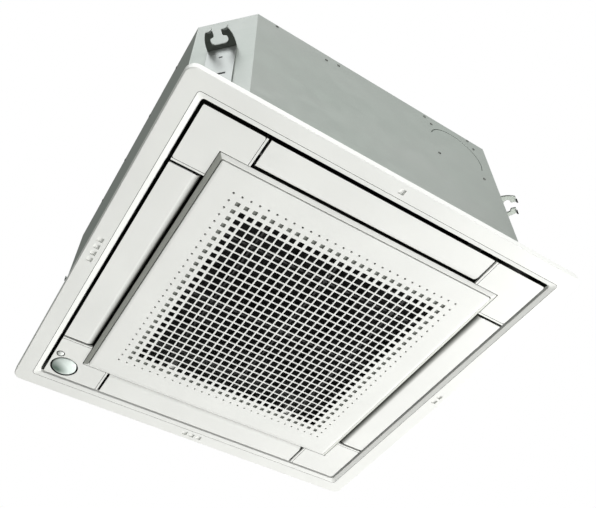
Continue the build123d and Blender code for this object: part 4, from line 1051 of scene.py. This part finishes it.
# painted shade: dark plugs in the wall foam's finish fill the legs' slots from behind; bulge holds how far
# out each is, and how much of the slot it fills there
slotShadePlugs = {"gap": 0.05, "bulge": ((0.05, 1.0), (2.3, 0.99), (2.7, 0.8))}


def makeSlotShadePlugs():
    shadePlugs = Sheet()
    for k in range(4):
        wall = hookWall(k)
        plugs = Sheet()
        for v0, v1, z0, z1 in hook["slots"]:
            middle, high = wall["shift"] + (v0 + v1) / 2, (z0 + z1) / 2
            rings = []
            for out, share in slotShadePlugs["bulge"]:
                across, up = (v1 - v0) / 2 * share - slotShadePlugs["gap"], (z1 - z0) / 2 * share - slotShadePlugs["gap"]
                rings.append([(wall["distance"] + out, middle + a * across, high + b * up)
                              for a, b in ((-1, -1), (1, -1), (1, 1), (-1, 1))])
            plugs.loft(rings, True)
        plugs.turnAll(Matrix.Rotation(wall["turn"], 4, "Z"))
        shadePlugs.join(plugs)
    shadePlugs.piece("slotShadePlugs", "unit", "wall_foam")


makeHooks()
makeSlotShadePlugs()
print("hanger hooks made")


view = {"lens": 43.843, "sensor": 36.0, "place": (-0.39341, -0.66868, -0.77946),
        "forward": (0.33750, 0.53344, 0.77559), "right": (0.84698, -0.53161, -0.00293)}


def placeCamera():
    data = bpy.data.cameras.new("photoCamera")
    data.lens = view["lens"]
    data.sensor_width = view["sensor"]
    camera = placed("photoCamera", data)
    back = -Vector(view["forward"]).normalized()
    right = Vector(view["right"]).normalized()
    up = back.cross(right).normalized()
    right = up.cross(back)
    turn = Matrix((right, up, back)).transposed().to_4x4()
    camera.matrix_world = Matrix.Translation(view["place"]) @ turn
    bpy.context.scene.camera = camera


# soft boxes: place, the point each one faces, size, power and colour
lamps = {
    "keyLight": ((3.50, 0.60, -1.90), (0, 0, 0), 2.2, 206.0, (0.995, 0.99, 0.985)),
    "overheadBox": ((0.35, -1.2, 2.2), (0.0, -0.3, 0.15), 2.6, 9.0, (1, 1, 1)),
    "cornerCard": ((-1.25, -0.80, 1.80), (-0.26, -0.26, 0.15), 1.3, 7.6, (0.975, 0.98, 1.0)),
    "cornerFill": ((-1.45, -1.25, 0.75), (-0.26, -0.26, 0.14), 0.9, 6.0, (0.975, 0.985, 1.0)),
    "sideLight": ((0.1, -2.6, 0.25), (0, 0, 0.1), 1.2, 48.0, (1, 1, 1)),
    "backBox": ((1.9, 2.3, 1.9), (0.1, 0.1, 0.25), 2.2, 42.0, (1, 1, 1)),
}


def softLight(name, place, aim, size, power, color):
    data = bpy.data.lights.new(name, "AREA")
    data.shape = "SQUARE"
    data.size = size
    data.energy = power
    data.color = color
    lamp = placed(name, data)
    lamp.location = place
    lamp.rotation_mode = "QUATERNION"
    lamp.rotation_quaternion = (Vector(aim) - Vector(place)).to_track_quat("-Z", "Y")
    lamp.visible_camera = False


room = {"ambient": 0.23, "tint": (0.95, 1.0, 0.94), "backdrop": 1.0, "floorZ": -3.0, "floorSize": 16.0,
        "floor": (0.80, 0.80, 0.79), "floorRoughness": 0.7, "floorSpeck": 0.02}


# the light of the room reaches the part, and only the camera sees the white backdrop
def paintRoom():
    world = bpy.data.worlds.new("studio")
    bpy.context.scene.world = world
    world.use_nodes = True
    tree = world.node_tree
    tree.nodes.clear()
    out = tree.nodes.new("ShaderNodeOutputWorld")
    mix = tree.nodes.new("ShaderNodeMixShader")
    seen = tree.nodes.new("ShaderNodeLightPath")
    tree.links.new(seen.outputs["Is Camera Ray"], mix.inputs[0])
    for socket, strength, tint in ((1, room["ambient"], room["tint"]), (2, room["backdrop"], (1, 1, 1))):
        glow = tree.nodes.new("ShaderNodeBackground")
        glow.inputs["Strength"].default_value = strength
        glow.inputs["Color"].default_value = (*tint, 1)
        tree.links.new(glow.outputs[0], mix.inputs[socket])
    tree.links.new(mix.outputs[0], out.inputs["Surface"])
    bpy.ops.mesh.primitive_plane_add(size=room["floorSize"], location=(0, 0, room["floorZ"]))
    floor = bpy.context.object
    floor.name = "floor"
    paint = plain("paleFloor", room["floor"], room["floorRoughness"], share=room["floorSpeck"])
    floor.data.materials.append(paint)


placeCamera()
paintRoom()
for name, settings in lamps.items():
    softLight(name, *settings)
bpy.context.scene.view_settings.view_transform = "Standard"
print("stage set")
